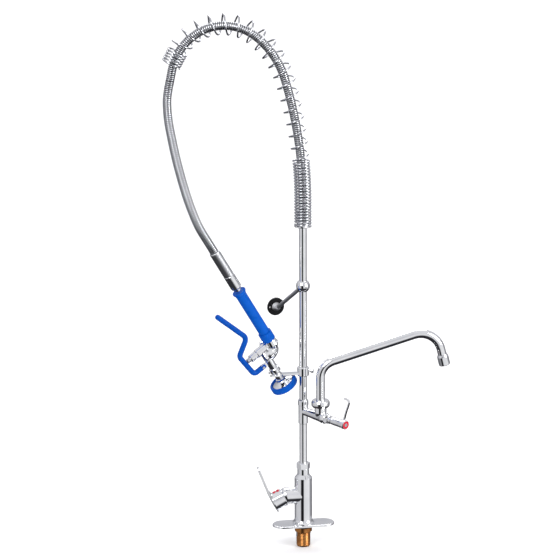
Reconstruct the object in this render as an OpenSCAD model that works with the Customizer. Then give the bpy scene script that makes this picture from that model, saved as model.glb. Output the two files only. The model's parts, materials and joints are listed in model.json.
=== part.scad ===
// Deck-mounted pre-rinse faucet with an add-on swing spout, an overhead spring and a spray valve.
// Frame: origin on the deck, on the riser's axis; +Z up, +X towards the swing spout, -Y to the user.

/* [Clearances] */
// Radial clearance of pieces pushed together
fit_gap = 0.15; // [0.1:0.05:0.2]
// Radial clearance of pieces that turn in each other
run_gap = 0.08; // [0.05:0.01:0.1]
// Gap between pieces that pass close by each other
seat_gap = 0.3; // [0.2:0.05:0.4]

/* [Deck mount] */
// Length of the deck plate
plate_len = 147; // [120:1:160]
// Width of the deck plate
plate_w = 53; // [52:0.5:56]
// Height of the deck plate
plate_t = 4.5; // [4:0.1:6]
// Wall of the hollow deck plate
plate_wall = 2; // [1.5:0.1:2.5]
// Radius of the deck plate's top edge
plate_edge = 2.5; // [1:0.5:3.5]
// Diameter of the threaded mounting shank
shank_d = 32; // [28:0.5:33]
// Length of the shank below the deck
shank_below = 52; // [40:1:80]
// Depth of the shank's socket in the mixer body
shank_socket = 19.5; // [12:0.5:24]
// Diameter of each supply inlet in the shank
inlet_d = 9.6; // [8:0.1:10]
// Depth of each supply inlet
inlet_depth = 14; // [10:1:20]
// Distance of each supply inlet from the shank's axis
inlet_off = 7.5; // [6.5:0.5:8]
// Diameter of the water passages
passage_d = 6; // [4:0.5:7]
// Thickness of the rubber shank washer below the plate's top wall
washer_t = 6.1; // [5:0.1:8]
// Diameter of the brass lock nut
lock_nut_d = 41; // [40:0.5:44]
// Height of the lock nut
lock_nut_h = 12; // [8:1:16]
// Diameter of the jam screws
jam_screw_d = 3.2; // [2.8:0.1:3.4]
// Length of the jam screws
jam_screw_len = 22; // [16:1:30]
// Angle of the jam screws round the shank
jam_screw_turn = 22; // [0:1:60]

/* [Mixer body] */
// Diameter of the mixer column
column_d = 41.6; // [40:0.2:46]
// Height of the mixer column up to its shoulder
column_h = 113; // [100:1:130]
// Diameter of the ring at the column's foot
foot_d = 51; // [46:0.5:52]
// Height of the flared foot
foot_h = 10.5; // [8:0.5:14]
// Height of the sloping shoulder
shoulder_h = 8.2; // [6:0.2:12]
// Diameter of the neck above the shoulder
neck_d = 28.2; // [26:0.2:30]
// Height of the neck
neck_h = 13.7; // [12:0.1:18]
// Height of the branch's axis above the plate
branch_rise = 69.5; // [60:0.5:80]
// Diameter of the branch
branch_d = 39.4; // [38.8:0.2:40]
// Distance from the riser's axis to the lever's pivot
branch_len = 40; // [38:0.5:46]
// Length of the dome cap's skirt
dome_skirt = 7; // [6:0.5:9]
// Wall of the dome cap
dome_wall = 1.5; // [1:0.1:2]
// Diameter of the opening in the dome cap
dome_hole = 24; // [23:0.5:25]
// Diameter of the ceramic cartridge
cartridge_d = 34; // [32:0.2:34.4]
// Distance from the riser's axis to the cartridge's seat
cartridge_seat = 8; // [7:0.5:12]

/* [Mixer lever] */
// Tilt of the lever's hub below the branch
lever_tilt = 26.4; // [20:0.2:28]
// Outer end of the hub, from the pivot
hub_len = 36; // [34:0.5:42]
// Distance from the pivot to the hub's open rim
hub_rim = 7; // [6:0.5:9]
// Diameter of the hub's open rim
hub_rim_d = 42.4; // [42:0.2:44]
// Diameter of the hub's outer end
hub_end_d = 45.4; // [44:0.2:48]
// Reach of the blade above the hub's axis
blade_len = 97; // [80:1:120]
// Thickness of the blade
blade_t = 5.2; // [4:0.2:7]
// Width of the blade at the hub
blade_root_w = 30; // [24:1:34]
// Width of the blade at its tip
blade_tip_w = 19; // [16:0.5:22]
// Width of the slot in the blade
blade_slot_w = 8; // [6:0.5:9]
// Length of the slot in the blade
blade_slot_len = 26; // [16:1:36]
// How far the blade's tip leans back over the hub
blade_lean = 7; // [3:0.5:9]
// Diameter of the lever's square-ended spindle at its neck
lever_spindle_d = 6; // [5:0.2:6.2]
// Width of the spindle's square end
lever_square = 8; // [6.5:0.1:8.4]
// Diameter of each index dot
index_d = 8; // [6:0.5:9]

/* [Riser] */
// Outer diameter of the riser pipe
pipe_d = 18; // [17:0.2:18.4]
// Wall of the riser pipe
pipe_wall = 2; // [1.5:0.1:2.5]
// Depth of the pipe's socket in the mixer neck
neck_socket = 13.4; // [9:0.2:14]
// Height of the spigot that the riser nut screws on
spigot_h = 8.6; // [6:0.2:10]
// Height of the hex riser nut
riser_nut_h = 14.8; // [13:0.2:18]
// Width across the flats of the riser nut
riser_nut_af = 28; // [27:0.5:32]
// Bare lower riser between its nut and the tee
lower_gap = 96.8; // [60:0.2:160]
// Bare upper riser between the tee nut and the spring collar
upper_gap = 417; // [380:1:460]

/* [Add-on body] */
// Diameter of the tee's sleeve
tee_d = 22.4; // [22:0.2:26]
// Height of the tee's sleeve
tee_h = 45; // [42:1:52]
// Height of the arm's axis above the foot of the tee
arm_rise = 29.8; // [27:0.2:32]
// Height of the tee nut
tee_nut_h = 14; // [10:1:18]
// Diameter of the tee nut
tee_nut_d = 25; // [24:0.2:28]
// Direction of the arm, clockwise from +X
arm_turn = 58; // [50:1:70]
// Distance from the riser to the spout's axis
spout_off = 60.5; // [56:0.5:70]
// Diameter of the arm at the tee
arm_root_d = 19; // [17:0.2:21]
// Diameter of the arm under the spout
arm_end_d = 24; // [22:0.2:25]
// Diameter of the valve bulb
bulb_d = 27; // [26:0.2:30]
// Distance from the riser to the bulb's open face
bulb_end = 80; // [78:0.5:90]
// Diameter of the spout's neck on the arm
spout_neck_d = 28.4; // [28:0.2:31]
// Height of the spout's neck above the arm's axis
spout_neck_h = 28.2; // [26:0.2:34]
// Diameter of the rounded spout nut
spout_nut_d = 31.6; // [31.4:0.2:36]
// Height of the spout nut
spout_nut_h = 17; // [15:0.5:22]

/* [Swing spout] */
// Outer diameter of the spout tube
spout_d = 20.8; // [19:0.2:21.2]
// Wall of the spout tube
spout_wall = 1.5; // [1:0.1:2]
// Height of the spout's first corner above the arm's axis
spout_rise = 125.2; // [110:1:160]
// Slope of the spout's long run
spout_slope = 15.8; // [5:0.2:25]
// Distance between the spout's corners, level
spout_reach = 272.7; // [200:1:320]
// Radius of the spout's first bend
spout_bend_low = 40; // [30:1:50]
// Radius of the spout's second bend
spout_bend_high = 52; // [40:1:60]
// Lean of the outlet away from the vertical
outlet_lean = 13.6; // [0:0.2:20]
// Straight tube between the second bend and the aerator
outlet_run = 13.5; // [10:0.5:30]
// Diameter of the aerator housing
aerator_d = 27; // [25:0.2:30]
// Length of the aerator housing
aerator_len = 26; // [20:1:32]

/* [Add-on handle] */
// Width across the flats of the cartridge's hex
bonnet_af = 20; // [18:0.5:22]
// Length of the cartridge's hex
bonnet_len = 12; // [8:0.5:13]
// Diameter of the packing collar
packing_d = 17; // [15:0.5:18]
// Gap between the hex's outer end and the handle, along the arm
packing_len = 11; // [8:0.5:14]
// Length of the handle's hub
handle_len = 45; // [36:1:52]
// Diameter of the hub's inner end
handle_root_d = 18.4; // [17:0.2:20]
// Diameter of the hub's outer end
handle_end_d = 21.2; // [20:0.2:23]
// Diameter of the valve spindle
spindle_d = 6; // [5:0.2:7]
// Height of the handle's blade above the hub's axis
handle_rise = 63; // [50:1:75]
// Width of the handle's blade
handle_blade_w = 5; // [4:0.5:8]
// Thickness of the handle's blade
handle_blade_t = 3; // [2:0.2:4]

/* [Wall bracket] */
// Height of the bracket's ball above the tee nut
bracket_rise = 275; // [200:1:340]
// Diameter of the bracket's ball
ball_d = 32.6; // [30:0.2:36]
// Height of the bracket's ball
ball_h = 24.6; // [20:0.2:28]
// Diameter of the bracket rod
rod_d = 9.5; // [8:0.5:12]
// Level distance from the riser to the flange's back
bracket_reach = 153; // [120:1:180]
// Drop from the ball to the flange
bracket_drop = 88; // [0:1:100]
// Direction of the bracket, anticlockwise from +X
bracket_turn = 105.4; // [90:0.2:120]
// Diameter of the wall flange
flange_d = 43; // [40:1:60]
// Thickness of the wall flange
flange_t = 5; // [4:0.5:8]
// Diameter of the flange's hub
flange_hub_d = 22; // [20:0.5:24]
// Length of the flange's hub
flange_hub_len = 7; // [5:0.5:10]
// Diameter of the circle of screw holes
flange_pcd = 31; // [30:0.5:32]
// Diameter of the screw holes
flange_hole_d = 4.2; // [3.5:0.1:4.5]

/* [Spray holder] */
// Height of the clamp's foot above the tee nut
holder_rise = 58; // [40:1:90]
// Height of the clamp
clamp_h = 21; // [16:1:26]
// Diameter of the clamp
clamp_d = 28; // [26:0.5:32]
// Height of the arm's top above the clamp's foot
holder_arm_z = 8; // [6:0.5:12]
// Thickness of the holder's arm
holder_arm_t = 4; // [3:0.2:5]
// Width of the holder's arm
holder_arm_w = 15.5; // [12:0.5:18]
// Distance from the riser to the middle of the fork
fork_reach = 61.1; // [58:0.5:70]
// Length of the fork's prongs beyond its middle
prong_len = 19; // [14:0.5:24]
// Width of each prong
prong_w = 5; // [4:0.5:7]
// Diameter of the thumbscrew's head
thumb_d = 11; // [9:0.5:14]
// Reach of the thumbscrew from the riser's axis
thumb_reach = 24.5; // [23:0.5:30]

/* [Overhead spring] */
// Turn of the arch's plane from -X towards the user
arch_turn = -15; // [-18:1:-12]
// Diameter of the spring's wire
wire_d = 4; // [3:0.1:4.4]
// Outer diameter of the spring's close turns
spring_d = 40.5; // [40:0.1:43]
// Outer diameter of the spring at the top of the arch
spring_top_d = 51.5; // [46:0.5:54]
// Outer diameter of the spring's free end
spring_end_d = 48; // [45:0.5:50]
// Number of close turns at the riser
close_turns = 22; // [16:1:24]
// Number of open turns over the arch
open_turns = 18; // [14:1:20]
// Number of close turns at the free end
end_turns = 5; // [3:1:6]
// Pitch of the close turns
close_pitch = 6.9; // [6:0.1:7.2]
// Height of the spring collar
spring_collar_h = 14; // [10:1:18]
// Thickness of the spring collar's flange
spring_flange_t = 3; // [2:0.5:5]
// Height of the hose nut
hose_nut_h = 23; // [16:1:26]
// Width across the flats of the hose nut
hose_nut_af = 24; // [22:0.5:26]

/* [Hose] */
// Outer diameter of the hose over its ribs
hose_d = 20.5; // [18:0.5:21]
// Depth of the grooves between the ribs
rib_depth = 1.2; // [0.8:0.1:1.6]
// Bore of the hose
hose_bore = 9; // [6:0.5:10]
// Number of ribs inside the spring
spring_hose_ribs = 44; // [30:1:50]
// Number of ribs on the free stretch
free_hose_ribs = 80; // [50:1:84]

/* [Spray valve grip] */
// Direction of the spray valve from -X towards the user
swing_deg = 18; // [10:1:26]
// Angle of the grip below the level
grip_dip = 58.4; // [50:0.2:65]
// Distance from the grip's lower end to the middle of the fork, along the grip
fork_drop = 84; // [80:0.5:95]
// Diameter of the grip
grip_d = 26; // [24:0.5:28]
// Length of the grip above its lower collar
grip_len = 126; // [110:1:135]
// Diameter of the flange at the grip's top
grip_flange_d = 33; // [30:0.5:36]
// Diameter of the grip's lower collar
grip_collar_d = 32; // [30:0.5:34]
// Length of the grip's lower collar
grip_collar_len = 23; // [18:1:25]
// Diameter of the metal tube in the grip
grip_tube_d = 16; // [14:0.5:18]
// Length of tube that shows above the grip
grip_tube_bare = 9.5; // [6:0.5:14]
// Diameter of the swivel sleeve
sleeve_d = 25.7; // [24:0.1:27]
// Length of the swivel sleeve
sleeve_len = 39.5; // [30:0.5:45]
// Diameter of the hose ferrule
ferrule_d = 25; // [24:0.1:27]
// Length of the hose ferrule
ferrule_len = 70; // [55:1:80]

/* [Spray valve body] */
// Distance from the grip's lower end to the bell's axis
bell_drop = 26; // [24:0.5:27]
// Turn of the bell about the grip, away from the trigger
bell_turn = 35; // [30:1:38]
// Diameter of the bell's rim
bell_d = 58; // [54:0.5:58]
// Distance from the grip's axis to the bell's rim face
bell_face = 25; // [22:0.5:26]
// Thickness of the bell's rolled rim
bell_roll = 6; // [5:0.2:6.4]
// Distance from the grip's lower end to the valve's stem
bonnet_drop = 9; // [9:0.5:11]
// Distance from the grip's axis to the bonnet's seat
boss_face = 41; // [40:0.5:42]
// Diameter of the valve bonnet
bonnet_d = 18; // [17:0.2:19]
// Length of the bonnet outside the bell
bonnet_out = 22; // [18:0.5:23]
// Distance between the spray neck's axis and the grip's axis
neck_off = 26.5; // [24:0.5:28]
// Diameter of the spray neck
spray_neck_d = 18; // [16:0.2:18.4]
// Diameter of the shoulder that hangs on the fork
shoulder_d = 25; // [23:0.5:26]
// Length of the shoulder nut
shoulder_len = 13; // [10:0.5:16]

/* [Spray head] */
// Distance from the fork to the spray dish
dish_drop = 14; // [13:0.5:18]
// Depth of the spray dish
dish_h = 17; // [14:0.5:20]
// Diameter of the spray dish
dish_d = 54; // [50:0.5:56]
// Outer diameter of the bumper ring
bumper_d = 65.4; // [63:0.2:68]
// Height of the bumper ring
bumper_h = 16; // [14:0.5:18]
// How far the bumper ring stands out beyond the spray plate
bumper_over = 9; // [7:0.5:11]
// Thickness of the spray plate
plate_spray_t = 2; // [1.5:0.1:3]
// Diameter of the spray holes
spray_hole_d = 1.6; // [1:0.1:2]

/* [Trigger] */
// Distance from the grip's lower end to the trigger's pivot
pivot_drop = 46.4; // [45:0.2:49]
// Distance from the grip's axis to the trigger's pivot
pivot_v = 48.1; // [47:0.1:50]
// Diameter of the trigger's rod
trigger_d = 12.6; // [11:0.1:13]
// Distance from the pivot to the trigger's corner
trigger_drop = 26.4; // [26:0.1:28]
// Distance from the corner to the lower bend, along the grip
trigger_run = 61; // [56:1:64]
// Rise of the lower bend beyond the corner
trigger_bow = 8.1; // [6:0.1:10]
// Distance from the lower bend to the upper bend, along the grip
trigger_step = 26.5; // [24:0.5:30]
// Distance from the lower bend back to the upper bend
trigger_back = 39.4; // [36:0.5:42]
// Distance from the upper bend to the tip, along the grip
trigger_tail = 89.3; // [70:1:100]
// How far the tip stands out beyond the upper bend
trigger_flare = 32.2; // [24:0.5:40]
// Diameter of the trigger's pin
trigger_pin_d = 4.4; // [4:0.1:5]
// Thickness of the lug between the trigger's ears
lug_t = 5; // [4:0.2:6]
// Squeeze of the trigger
trigger_squeeze = 12; // [8:0.5:12]
// Diameter of the plunger
plunger_d = 11; // [9:0.2:12]

/* [Hidden] */
$fn = 64;
eps = 0.01;
bead = 0.05;

// Heights up the riser
shank_r = shank_d / 2;
branch_z = plate_t + branch_rise;
shoulder_z = plate_t + column_h;
neck_z = shoulder_z + shoulder_h;
neck_top = neck_z + neck_h;
riser_nut_top = neck_top + riser_nut_h;
tee_z = riser_nut_top + lower_gap;
arm_z = tee_z + arm_rise;
tee_top = tee_z + tee_h;
tee_nut_top = tee_top + tee_nut_h;
collar_z = tee_nut_top + upper_gap;
spring_seat = collar_z + spring_flange_t;
collar_top = collar_z + spring_collar_h;
hose_z = collar_top + seat_gap + hose_nut_h;
holder_z = tee_nut_top + holder_rise;
fork_z = holder_z + holder_arm_z;
bracket_z = tee_nut_top + bracket_rise;
pipe_r = pipe_d / 2;
pipe_bore = pipe_r - pipe_wall;
pipe_hole = pipe_r + fit_gap;

// Mixer
branch_r = branch_d / 2;
dome_thread_r = branch_r - 1.7;
chamber_r = cartridge_d / 2 + 0.2;
cartridge_end = branch_len - 6;
ring_wall = 1.7;
rotor_r = cartridge_d / 2 - ring_wall - 0.2;
rotor_end = branch_len + 5;
rotor_floor = branch_len - 4.6;
pivot_pin_d = 4;
eye_r = 3.8;
slot_w = lever_spindle_d + 2 * seat_gap;
square_start = 24;
square_end = hub_len - 2;
hub_cavity_r = branch_r + 0.4;
index_s = [13.5, 22.5];

// Add-on faucet
tee_socket = 19;
upper_socket = 11.5;
gland_len = 6;
gland_r = pipe_r + 1.2;
channel_d = 10;
valve_seat_at = spout_off - 11;
valve_r = 8;
valve_hole = valve_r + fit_gap;
packing_end = bulb_end + bonnet_len + packing_len - 0.6;
handle_start = bulb_end + bonnet_len + packing_len;
handle_end = handle_start + handle_len;
stem_r = spout_d / 2;
stem_hole = stem_r + run_gap;
spout_foot = 8.2;
collar_r = stem_r + 2.4;

// Spray valve
fork_slot_half = spray_neck_d / 2 + 0.95;
sleeve_top = grip_tube_bare + sleeve_len;
ferrule_top = sleeve_top + ferrule_len;
body_u = grip_len + grip_collar_len;
fork_u = body_u + fork_drop;
bell_u = body_u + bell_drop;
bonnet_u = body_u + bonnet_drop;
pivot_u = body_u + pivot_drop;
shoulder_end = fork_u - 6.4;
shoulder_start = shoulder_end - shoulder_len;
dish_u = fork_u + dish_drop;
rim_u = dish_u + dish_h;
corner_v = pivot_v + trigger_drop;
bend_u = pivot_u - trigger_run;
bend_v = corner_v + trigger_bow;
upper_u = bend_u - trigger_step;
upper_v = bend_v - trigger_back;
tip_u = upper_u - trigger_tail;
tip_v = upper_v + trigger_flare;
trigger_r = trigger_d / 2;
press_share = (pivot_u - bonnet_u) / trigger_run;
trigger_lean = atan(trigger_bow / trigger_run);
plunger_tip = corner_v + press_share * trigger_bow - trigger_r / cos(trigger_lean)
    - plunger_d / 2 * tan(trigger_lean) - seat_gap;
plunger_travel = (pivot_u - bonnet_u) * tan(trigger_squeeze);

// Arch of the spring: [radius of the bend or length of the straight, heading at its start and end].
// Headings are from the vertical, towards the arch.
spring_path = [
    [63, 0, 0],
    [987, 0, 16.6],
    [199, 16.6, 52.9],
    [112, 52.9, 80],
    [119, 80, 152.5],
    [38, 152.5, 152.5],
];
hose_arc = [
    [63, 0, 0],
    [987, 0, 16.6],
    [194, 16.6, 51],
    [115.5, 51, 119],
    [134.4, 119, 168.7],
    [25, 168.7, 168.7],
];
arch_foot = spring_seat;

// Route of the free hose in the arch's own frame: distance out, sideways, height.
hose_route = [
    [312, 6, 1015], [308, 18, 977], [298, 37, 937], [286, 60, 898],
    [273, 81, 861], [259, 100, 824], [244, 114, 788], [227, 119, 750],
];

chrome = [0.83, 0.84, 0.86];
brass = [0.72, 0.45, 0.2];
steel = [0.6, 0.61, 0.63];
blue = [0.02, 0.3, 0.85];
rubber = [0.06, 0.06, 0.06];
red = [0.75, 0.05, 0.1];
white = [0.9, 0.9, 0.88];

// ---------- helpers ----------

// A ring of outer radius ro and inner radius ri, from z0 to z1.
module ring(ro, ri, z0, z1) {
    difference() {
        translate([0, 0, z0]) cylinder(h = z1 - z0, r = ro);
        translate([0, 0, z0 - 1]) cylinder(h = z1 - z0 + 2, r = ri);
    }
}

// A hollow passage of radius r from z0 to z1, to be cut out.
module bore(r, z0, z1) {
    translate([0, 0, z0]) cylinder(h = z1 - z0, r = r);
}

// A turned solid from a half outline of [radius, height] points.
module turned(points) {
    rotate_extrude() polygon(points);
}

// A hex bar across flats af, from z0 to z1, with chamfered corners.
module hex(af, z0, z1) {
    corner = af / 2 / cos(30);
    cut = corner - af / 2 + 0.4;
    intersection() {
        translate([0, 0, z0]) cylinder(h = z1 - z0, r = corner, $fn = 6);
        turned([[0, z0], [af / 2 - 0.4, z0], [af / 2 - 0.4 + cut, z0 + cut * 0.6],
                [af / 2 - 0.4 + cut, z1 - cut * 0.6], [af / 2 - 0.4, z1], [0, z1]]);
    }
}

// A torus of centre radius rc and section radius rs at height z.
module o_ring(rc, rs, z) {
    translate([0, 0, z]) rotate_extrude() translate([rc, 0]) circle(r = rs, $fn = 24);
}

// A bend of a round bar of radius r: starts along z, turns towards x by an angle on radius rb.
// A bead at each end, just wider than the bar, joins it to the next straight.
module bend(rb, angle, r) {
    rotate([90, 0, 0]) translate([rb, 0, 0]) rotate([0, 0, 180 - angle])
        rotate_extrude(angle = angle) translate([rb, 0]) circle(r = r);
    sphere(r = r + bead);
    past_bend(rb, angle) sphere(r = r + bead);
}

// Moves on past a bend of radius rb.
module past_bend(rb, angle) {
    translate([rb * (1 - cos(angle)), 0, rb * sin(angle)]) rotate([0, angle, 0]) children();
}

// Points of an arc in a half outline.
function arc(cx, cy, r, a0, a1, n) =
    [for (i = [0:n]) [cx + r * cos(a0 + (a1 - a0) * i / n), cy + r * sin(a0 + (a1 - a0) * i / n)]];

// ---------- frames ----------

// Branch: local z runs out along -X from the riser's axis, local x is up.
module branch_frame() {
    translate([0, 0, branch_z]) rotate([0, -90, 0]) children();
}

// Lever: local z runs along the hub's axis from the pivot, local x along the blade.
module lever_frame() {
    branch_frame() translate([0, 0, branch_len]) rotate([0, -lever_tilt, 0]) children();
}

// Arm of the add-on faucet: local z runs out along the arm, local x is down, local y is level.
module arm_frame() {
    translate([0, 0, arm_z]) rotate([0, 0, -arm_turn]) rotate([0, 90, 0]) children();
}

// Spout: local z is up along the spout's own axis, from the height of the arm's axis.
module spout_frame() {
    translate([spout_off * cos(arm_turn), -spout_off * sin(arm_turn), arm_z]) children();
}

// Bracket: local x runs level from the riser to the wall, at the height of the ball.
module bracket_frame() {
    translate([0, 0, bracket_z]) rotate([0, 0, bracket_turn]) children();
}

// Arch: local x runs level from the riser towards the free hose.
module arch_frame() {
    rotate([0, 0, 180 + arch_turn]) children();
}

// Spray valve: local z runs down the grip from its flange, local x points to the trigger.
module grip_frame() {
    translate([-fork_reach, 0, fork_z - seat_gap])
        rotate([0, 0, swing_deg])
            rotate([0, 90 + grip_dip, 0])
                translate([-neck_off, 0, -fork_u])
                    children();
}

// Bell of the spray valve: local z runs out from the grip's axis through the middle of its rim.
module bell_frame() {
    grip_frame() translate([0, 0, bell_u]) rotate([0, 0, bell_turn]) rotate([0, 90, 0]) children();
}

// Valve stem of the spray valve: local z runs out from the grip's axis towards the trigger.
module stem_frame() {
    grip_frame() translate([0, 0, bonnet_u]) rotate([0, 90, 0]) children();
}

// ---------- deck mount ----------

// Half of the deck plate's cross-section, as [distance from the middle, height].
module plate_section() {
    half = plate_w / 2;
    square([half, plate_t - plate_edge]);
    square([half - plate_edge, plate_t]);
    translate([half - plate_edge, plate_t - plate_edge]) intersection() {
        circle(r = plate_edge);
        square(plate_edge);
    }
}

module plate_blank() {
    straight = plate_len - plate_w;
    for (side = [-1, 1]) {
        translate([side * straight / 2, 0, 0]) rotate_extrude() plate_section();
        translate([-straight / 2, 0, 0]) rotate([90, 0, 90]) linear_extrude(height = straight)
            scale([side, 1]) plate_section();
    }
}

module plate_hollow() {
    half = plate_w / 2 - plate_wall;
    straight = plate_len - plate_w;
    depth = plate_t - plate_wall;
    translate([-straight / 2, -half, -1]) cube([straight, 2 * half, depth + 1]);
    for (side = [-1, 1])
        translate([side * straight / 2, 0, -1]) cylinder(h = depth + 1, r = half);
}

module deck_plate() {
    color(chrome) difference() {
        plate_blank();
        plate_hollow();
        bore(shank_r + fit_gap, -1, plate_t + 1);
    }
}

module shank_washer() {
    top = plate_t - plate_wall;
    half = plate_w / 2 - plate_wall - 0.5;
    color(rubber) ring(half, shank_r + fit_gap, top - washer_t, top);
}

lock_nut_top = plate_t - plate_wall - washer_t;
jam_r = (lock_nut_d / 2 + shank_r + fit_gap) / 2;

module jam_screw_places() {
    for (side = [0, 180])
        rotate([0, 0, jam_screw_turn + side]) translate([jam_r, 0, lock_nut_top - jam_screw_len]) children();
}

module lock_nut() {
    color(brass) difference() {
        turned([[0, lock_nut_top], [lock_nut_d / 2, lock_nut_top],
                [lock_nut_d / 2, lock_nut_top - lock_nut_h + 1],
                [lock_nut_d / 2 - 1, lock_nut_top - lock_nut_h], [0, lock_nut_top - lock_nut_h]]);
        bore(shank_r + fit_gap, lock_nut_top - lock_nut_h - 1, lock_nut_top + 1);
        jam_screw_places() cylinder(h = jam_screw_len + 1, d = jam_screw_d + 0.2, $fn = 32);
    }
}

module jam_screws() {
    color(steel) jam_screw_places() difference() {
        cylinder(h = jam_screw_len, d = jam_screw_d, $fn = 32);
        translate([-0.4, -jam_screw_d, -1]) cube([0.8, 2 * jam_screw_d, 2]);
    }
}

module inlet_places() {
    for (side = [-1, 1]) translate([0, side * inlet_off, 0]) children();
}

module mounting_shank() {
    top = plate_t + shank_socket;
    color(brass) difference() {
        turned([[0, -shank_below], [shank_r - 1.5, -shank_below], [shank_r, -shank_below + 1.5],
                [shank_r, top], [0, top]]);
        inlet_places() bore(inlet_d / 2, -shank_below - 1, -shank_below + inlet_depth);
        inlet_places() bore(passage_d / 2, -shank_below, top + 1);
    }
}

// ---------- mixer ----------

module mixer_body() {
    foot_r = foot_d / 2;
    column_r = column_d / 2;
    color(chrome) difference() {
        union() {
            turned([[0, plate_t], [foot_r, plate_t], [foot_r, plate_t + 2.4], [foot_r - 0.7, plate_t + 3.2],
                    [(foot_r + column_r) / 2 - 0.2, plate_t + foot_h * 0.5],
                    [column_r + 0.7, plate_t + foot_h * 0.8], [column_r, plate_t + foot_h],
                    [column_r, shoulder_z], [neck_d / 2, neck_z],
                    [neck_d / 2, neck_top - 0.8], [neck_d / 2 - 0.8, neck_top],
                    [pipe_hole + 2.35, neck_top], [pipe_hole + 2.35, neck_top + spigot_h],
                    [0, neck_top + spigot_h]]);
            branch_frame() cylinder(h = branch_len - dome_skirt, r = branch_r);
            branch_frame() cylinder(h = branch_len - 3, r = dome_thread_r);
        }
        bore(shank_r + fit_gap, plate_t - 1, plate_t + shank_socket);
        branch_frame() bore(chamber_r, cartridge_seat, branch_len);
        inlet_places() bore(passage_d / 2, plate_t, branch_z + passage_d / 2);
        inlet_places() branch_frame() bore(passage_d / 2, 0, cartridge_seat + 1);
        branch_frame() translate([9, 0, 0]) bore(passage_d / 2, 0, cartridge_seat + 1);
        bore(passage_d / 2, branch_z + 9, neck_top);
        bore(pipe_hole, neck_top - neck_socket, neck_top + spigot_h + 1);
    }
}

module ceramic_cartridge() {
    color(white) branch_frame() difference() {
        translate([0, 0, cartridge_seat]) cylinder(h = cartridge_end - cartridge_seat, d = cartridge_d);
        for (p = [[0, inlet_off], [0, -inlet_off], [9, 0]])
            translate([p[0], p[1], cartridge_seat - 1]) cylinder(h = 7, d = passage_d);
    }
}

module cartridge_ring() {
    color(brass) branch_frame()
        ring(cartridge_d / 2, cartridge_d / 2 - ring_wall, cartridge_end, branch_len - 3);
}

module dome_cap() {
    skirt = branch_len - dome_skirt;
    color(chrome) branch_frame() difference() {
        union() {
            translate([0, 0, skirt]) cylinder(h = dome_skirt, r = branch_r);
            translate([0, 0, branch_len]) sphere(r = branch_r);
        }
        bore(dome_thread_r + fit_gap, skirt - branch_r - 1, branch_len - 3 + seat_gap);
        bore(branch_r - dome_wall - 0.8, skirt, branch_len);
        translate([0, 0, branch_len]) sphere(r = branch_r - dome_wall);
        bore(dome_hole / 2, branch_len, branch_len + branch_r + 1);
        translate([0, 0, skirt - 2 * branch_r]) cylinder(h = 2 * branch_r, r = branch_r + 1);
    }
}

module cartridge_rotor() {
    color(steel) branch_frame() difference() {
        translate([0, 0, cartridge_end + seat_gap])
            cylinder(h = rotor_end - cartridge_end - seat_gap, r = rotor_r);
        translate([-13, -slot_w / 2, rotor_floor]) cube([26, slot_w, rotor_end]);
        translate([0, 0, branch_len]) rotate([90, 0, 0])
            cylinder(h = 3 * rotor_r, d = pivot_pin_d + 0.1, center = true);
    }
}

module rotor_pin() {
    color(steel) branch_frame() translate([0, 0, branch_len]) rotate([90, 0, 0])
        cylinder(h = 2 * rotor_r - 3, d = pivot_pin_d, center = true);
}

module cartridge_spindle() {
    color(steel) lever_frame() difference() {
        union() {
            rotate([90, 0, 0]) cylinder(h = lever_spindle_d - 0.6, r = eye_r, center = true);
            cylinder(h = square_start + 1, d = lever_spindle_d);
            translate([-lever_square / 2, -lever_square / 2, square_start])
                cube([lever_square, lever_square, square_end - square_start]);
        }
        rotate([90, 0, 0]) cylinder(h = 20, d = pivot_pin_d + 2 * run_gap, center = true);
    }
}

// Side outline of the lever's blade, as [distance along the blade, distance along the hub].
function blade_side() = [
    [-hub_end_d / 2 + 1.5, hub_len - 3], [-hub_end_d / 2 + 3, hub_len + 0.6], [0, hub_len + 2.2],
    [18, hub_len + 2.2], [blade_len, hub_len - blade_lean + blade_t - 2.8],
    [blade_len, hub_len - blade_lean - 2.8], [hub_end_d / 2 + 5, hub_len - 3.6],
    [hub_end_d / 2 - 1, hub_len - 6],
];

module blade_front() {
    tip = blade_len - blade_tip_w / 2;
    polygon([[-hub_end_d / 2, blade_root_w / 2], [hub_end_d / 2, blade_root_w / 2], [tip, blade_tip_w / 2],
             [tip, -blade_tip_w / 2], [hub_end_d / 2, -blade_root_w / 2],
             [-hub_end_d / 2, -blade_root_w / 2]]);
    translate([tip, 0]) circle(d = blade_tip_w);
}

module blade_slot() {
    near = blade_len - blade_tip_w / 2 - blade_slot_len + blade_slot_w;
    far = blade_len - blade_tip_w / 2;
    for (x = [near, far]) translate([x, 0]) circle(d = blade_slot_w);
    translate([near, -blade_slot_w / 2]) square([far - near, blade_slot_w]);
}

module mixer_lever() {
    color(chrome) lever_frame() difference() {
        union() {
            turned([[0, hub_rim], [hub_rim_d / 2, hub_rim], [hub_end_d / 2, hub_len - 2.5],
                    [hub_end_d / 2 - 0.8, hub_len - 0.8], [hub_end_d / 2 - 2.5, hub_len], [0, hub_len]]);
            intersection() {
                translate([0, blade_root_w / 2, 0]) rotate([90, 0, 0])
                    linear_extrude(height = blade_root_w) polygon(blade_side());
                linear_extrude(height = 2 * hub_len) difference() {
                    blade_front();
                    blade_slot();
                }
            }
        }
        sphere(r = hub_cavity_r);
        translate([-lever_square / 2 - 0.1, -lever_square / 2 - 0.1, 0])
            cube([lever_square + 0.2, lever_square + 0.2, square_end + 0.3]);
        translate([0, 0, hub_rim + 22]) rotate([0, -90, 0]) cylinder(h = hub_end_d, d = 5.2);
        for (s = index_s) translate([hub_end_d / 2 - 2.2, 0, s]) rotate([0, 90, 0])
            cylinder(h = 10, d = index_d + 0.2);
    }
}

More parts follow.
